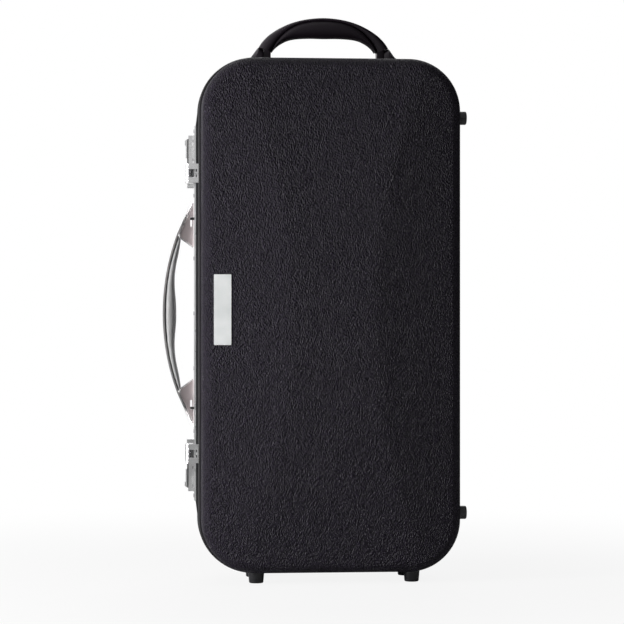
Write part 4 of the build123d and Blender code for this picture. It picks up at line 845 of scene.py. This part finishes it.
# The camera stands a little to the left, and sees VIEW_HALF metres each way at VIEW_DEPTH
AZIMUTH, DISTANCE = math.radians(5.0), 2.8
VIEW_HALF, VIEW_DEPTH = 0.3879, 2.73
view = bpy.data.cameras.new("view")
view.sensor_fit = "HORIZONTAL"
view.angle = 2 * math.atan(VIEW_HALF / VIEW_DEPTH)
view.clip_end = 50.0
camera = bpy.data.objects.new("view", view)
bpy.context.scene.collection.objects.link(camera)
bpy.context.scene.camera = camera
aim = at(-21.4, 0.0, 4.2)
camera.location = aim + Vector((-math.sin(AZIMUTH), -math.cos(AZIMUTH), 0.0)) * DISTANCE
camera.rotation_euler = (math.radians(90.0), 0.0, -AZIMUTH)


MIDDLE = (0.0, 0.0, 0.34)


def lamp(name, place, size, power):
    """A soft white rectangular lamp that points at the case's middle."""
    light = bpy.data.lights.new(name, "AREA")
    light.shape = "RECTANGLE"
    light.size, light.size_y = size
    light.energy = power
    made = bpy.data.objects.new(name, light)
    made.location = place
    made.rotation_euler = (Vector(MIDDLE) - Vector(place)).to_track_quat("-Z", "Y").to_euler()
    bpy.context.scene.collection.objects.link(made)


lamp("key", (-1.42, -0.5, 0.10), (0.5, 1.1), 47.0)
lamp("fill", (2.5, -0.55, 0.5), (0.9, 1.6), 4.5)
lamp("top", (-0.5, -0.2, 2.6), (1.6, 1.2), 6.0)
lamp("behind", (0.6, 2.3, 1.4), (1.8, 1.6), 14.0)

# A white room that dimly lights the case, and that reflections see bright on the left only
AMBIENT, GLOSS_LEFT, GLOSS_RIGHT = 0.05, 0.98, 0.0
world = bpy.data.worlds.new("studio")
bpy.context.scene.world = world
world.use_nodes = True
tree = world.node_tree
tree.nodes.clear()
path = tree.nodes.new("ShaderNodeLightPath")
way = tree.nodes.new("ShaderNodeSeparateXYZ")
tree.links.new(tree.nodes.new("ShaderNodeTexCoord").outputs["Generated"], way.inputs[0])
side_to_side = tree.nodes.new("ShaderNodeMapRange")
for key, value in (("From Min", -0.14), ("From Max", 0.30), ("To Min", GLOSS_LEFT),
                   ("To Max", GLOSS_RIGHT)):
    side_to_side.inputs[key].default_value = value
tree.links.new(way.outputs["X"], side_to_side.inputs["Value"])
shown = tree.nodes.new("ShaderNodeMath")
shown.operation = "MAXIMUM"
tree.links.new(path.outputs["Is Camera Ray"], shown.inputs[0])
tree.links.new(path.outputs["Is Transmission Ray"], shown.inputs[1])
plain, bright, white = (tree.nodes.new("ShaderNodeBackground") for _ in range(3))
plain.inputs["Strength"].default_value = AMBIENT
for sky in (plain, bright, white):
    sky.inputs["Color"].default_value = (1.0, 1.0, 1.0, 1.0)
tree.links.new(side_to_side.outputs[0], bright.inputs["Strength"])
glossy, mix = tree.nodes.new("ShaderNodeMixShader"), tree.nodes.new("ShaderNodeMixShader")
tree.links.new(path.outputs["Is Glossy Ray"], glossy.inputs[0])
tree.links.new(plain.outputs[0], glossy.inputs[1])
tree.links.new(bright.outputs[0], glossy.inputs[2])
out = tree.nodes.new("ShaderNodeOutputWorld")
tree.links.new(shown.outputs[0], mix.inputs[0])
tree.links.new(glossy.outputs[0], mix.inputs[1])
tree.links.new(white.outputs[0], mix.inputs[2])
tree.links.new(mix.outputs[0], out.inputs["Surface"])

# A floor that takes the case's shadow and is as white as the room to the camera
floor_paint = Material("floor", (0.92, 0.92, 0.92), 0.8)
glow = floor_paint.node("ShaderNodeEmission", {"Color": (1.0, 1.0, 1.0, 1.0), "Strength": 1.0})
blend = floor_paint.node("ShaderNodeMixShader")
ray = floor_paint.node("ShaderNodeLightPath").outputs["Is Camera Ray"]
far = floor_paint.node("ShaderNodeVectorMath", {0: floor_paint.place}, operation="LENGTH").outputs["Value"]
share = floor_paint.math("MULTIPLY", ray, floor_paint.ranged(far, 0.25, 1.1, 0.88, 1.0, smooth=True))
floor_paint.tree.links.new(share, blend.inputs[0])
floor_paint.tree.links.new(floor_paint.shader.outputs[0], blend.inputs[1])
floor_paint.tree.links.new(glow.outputs[0], blend.inputs[2])
floor_paint.tree.links.new(blend.outputs[0], floor_paint.tree.nodes["Material Output"].inputs["Surface"])
bpy.ops.mesh.primitive_circle_add(vertices=96, radius=60.0, fill_type="NGON", location=(0.0, 0.0, 0.0))
floor = bpy.context.object
floor.name = "floor"
floor.data.materials.append(floor_paint.made)

bpy.context.scene.view_settings.view_transform = "Standard"
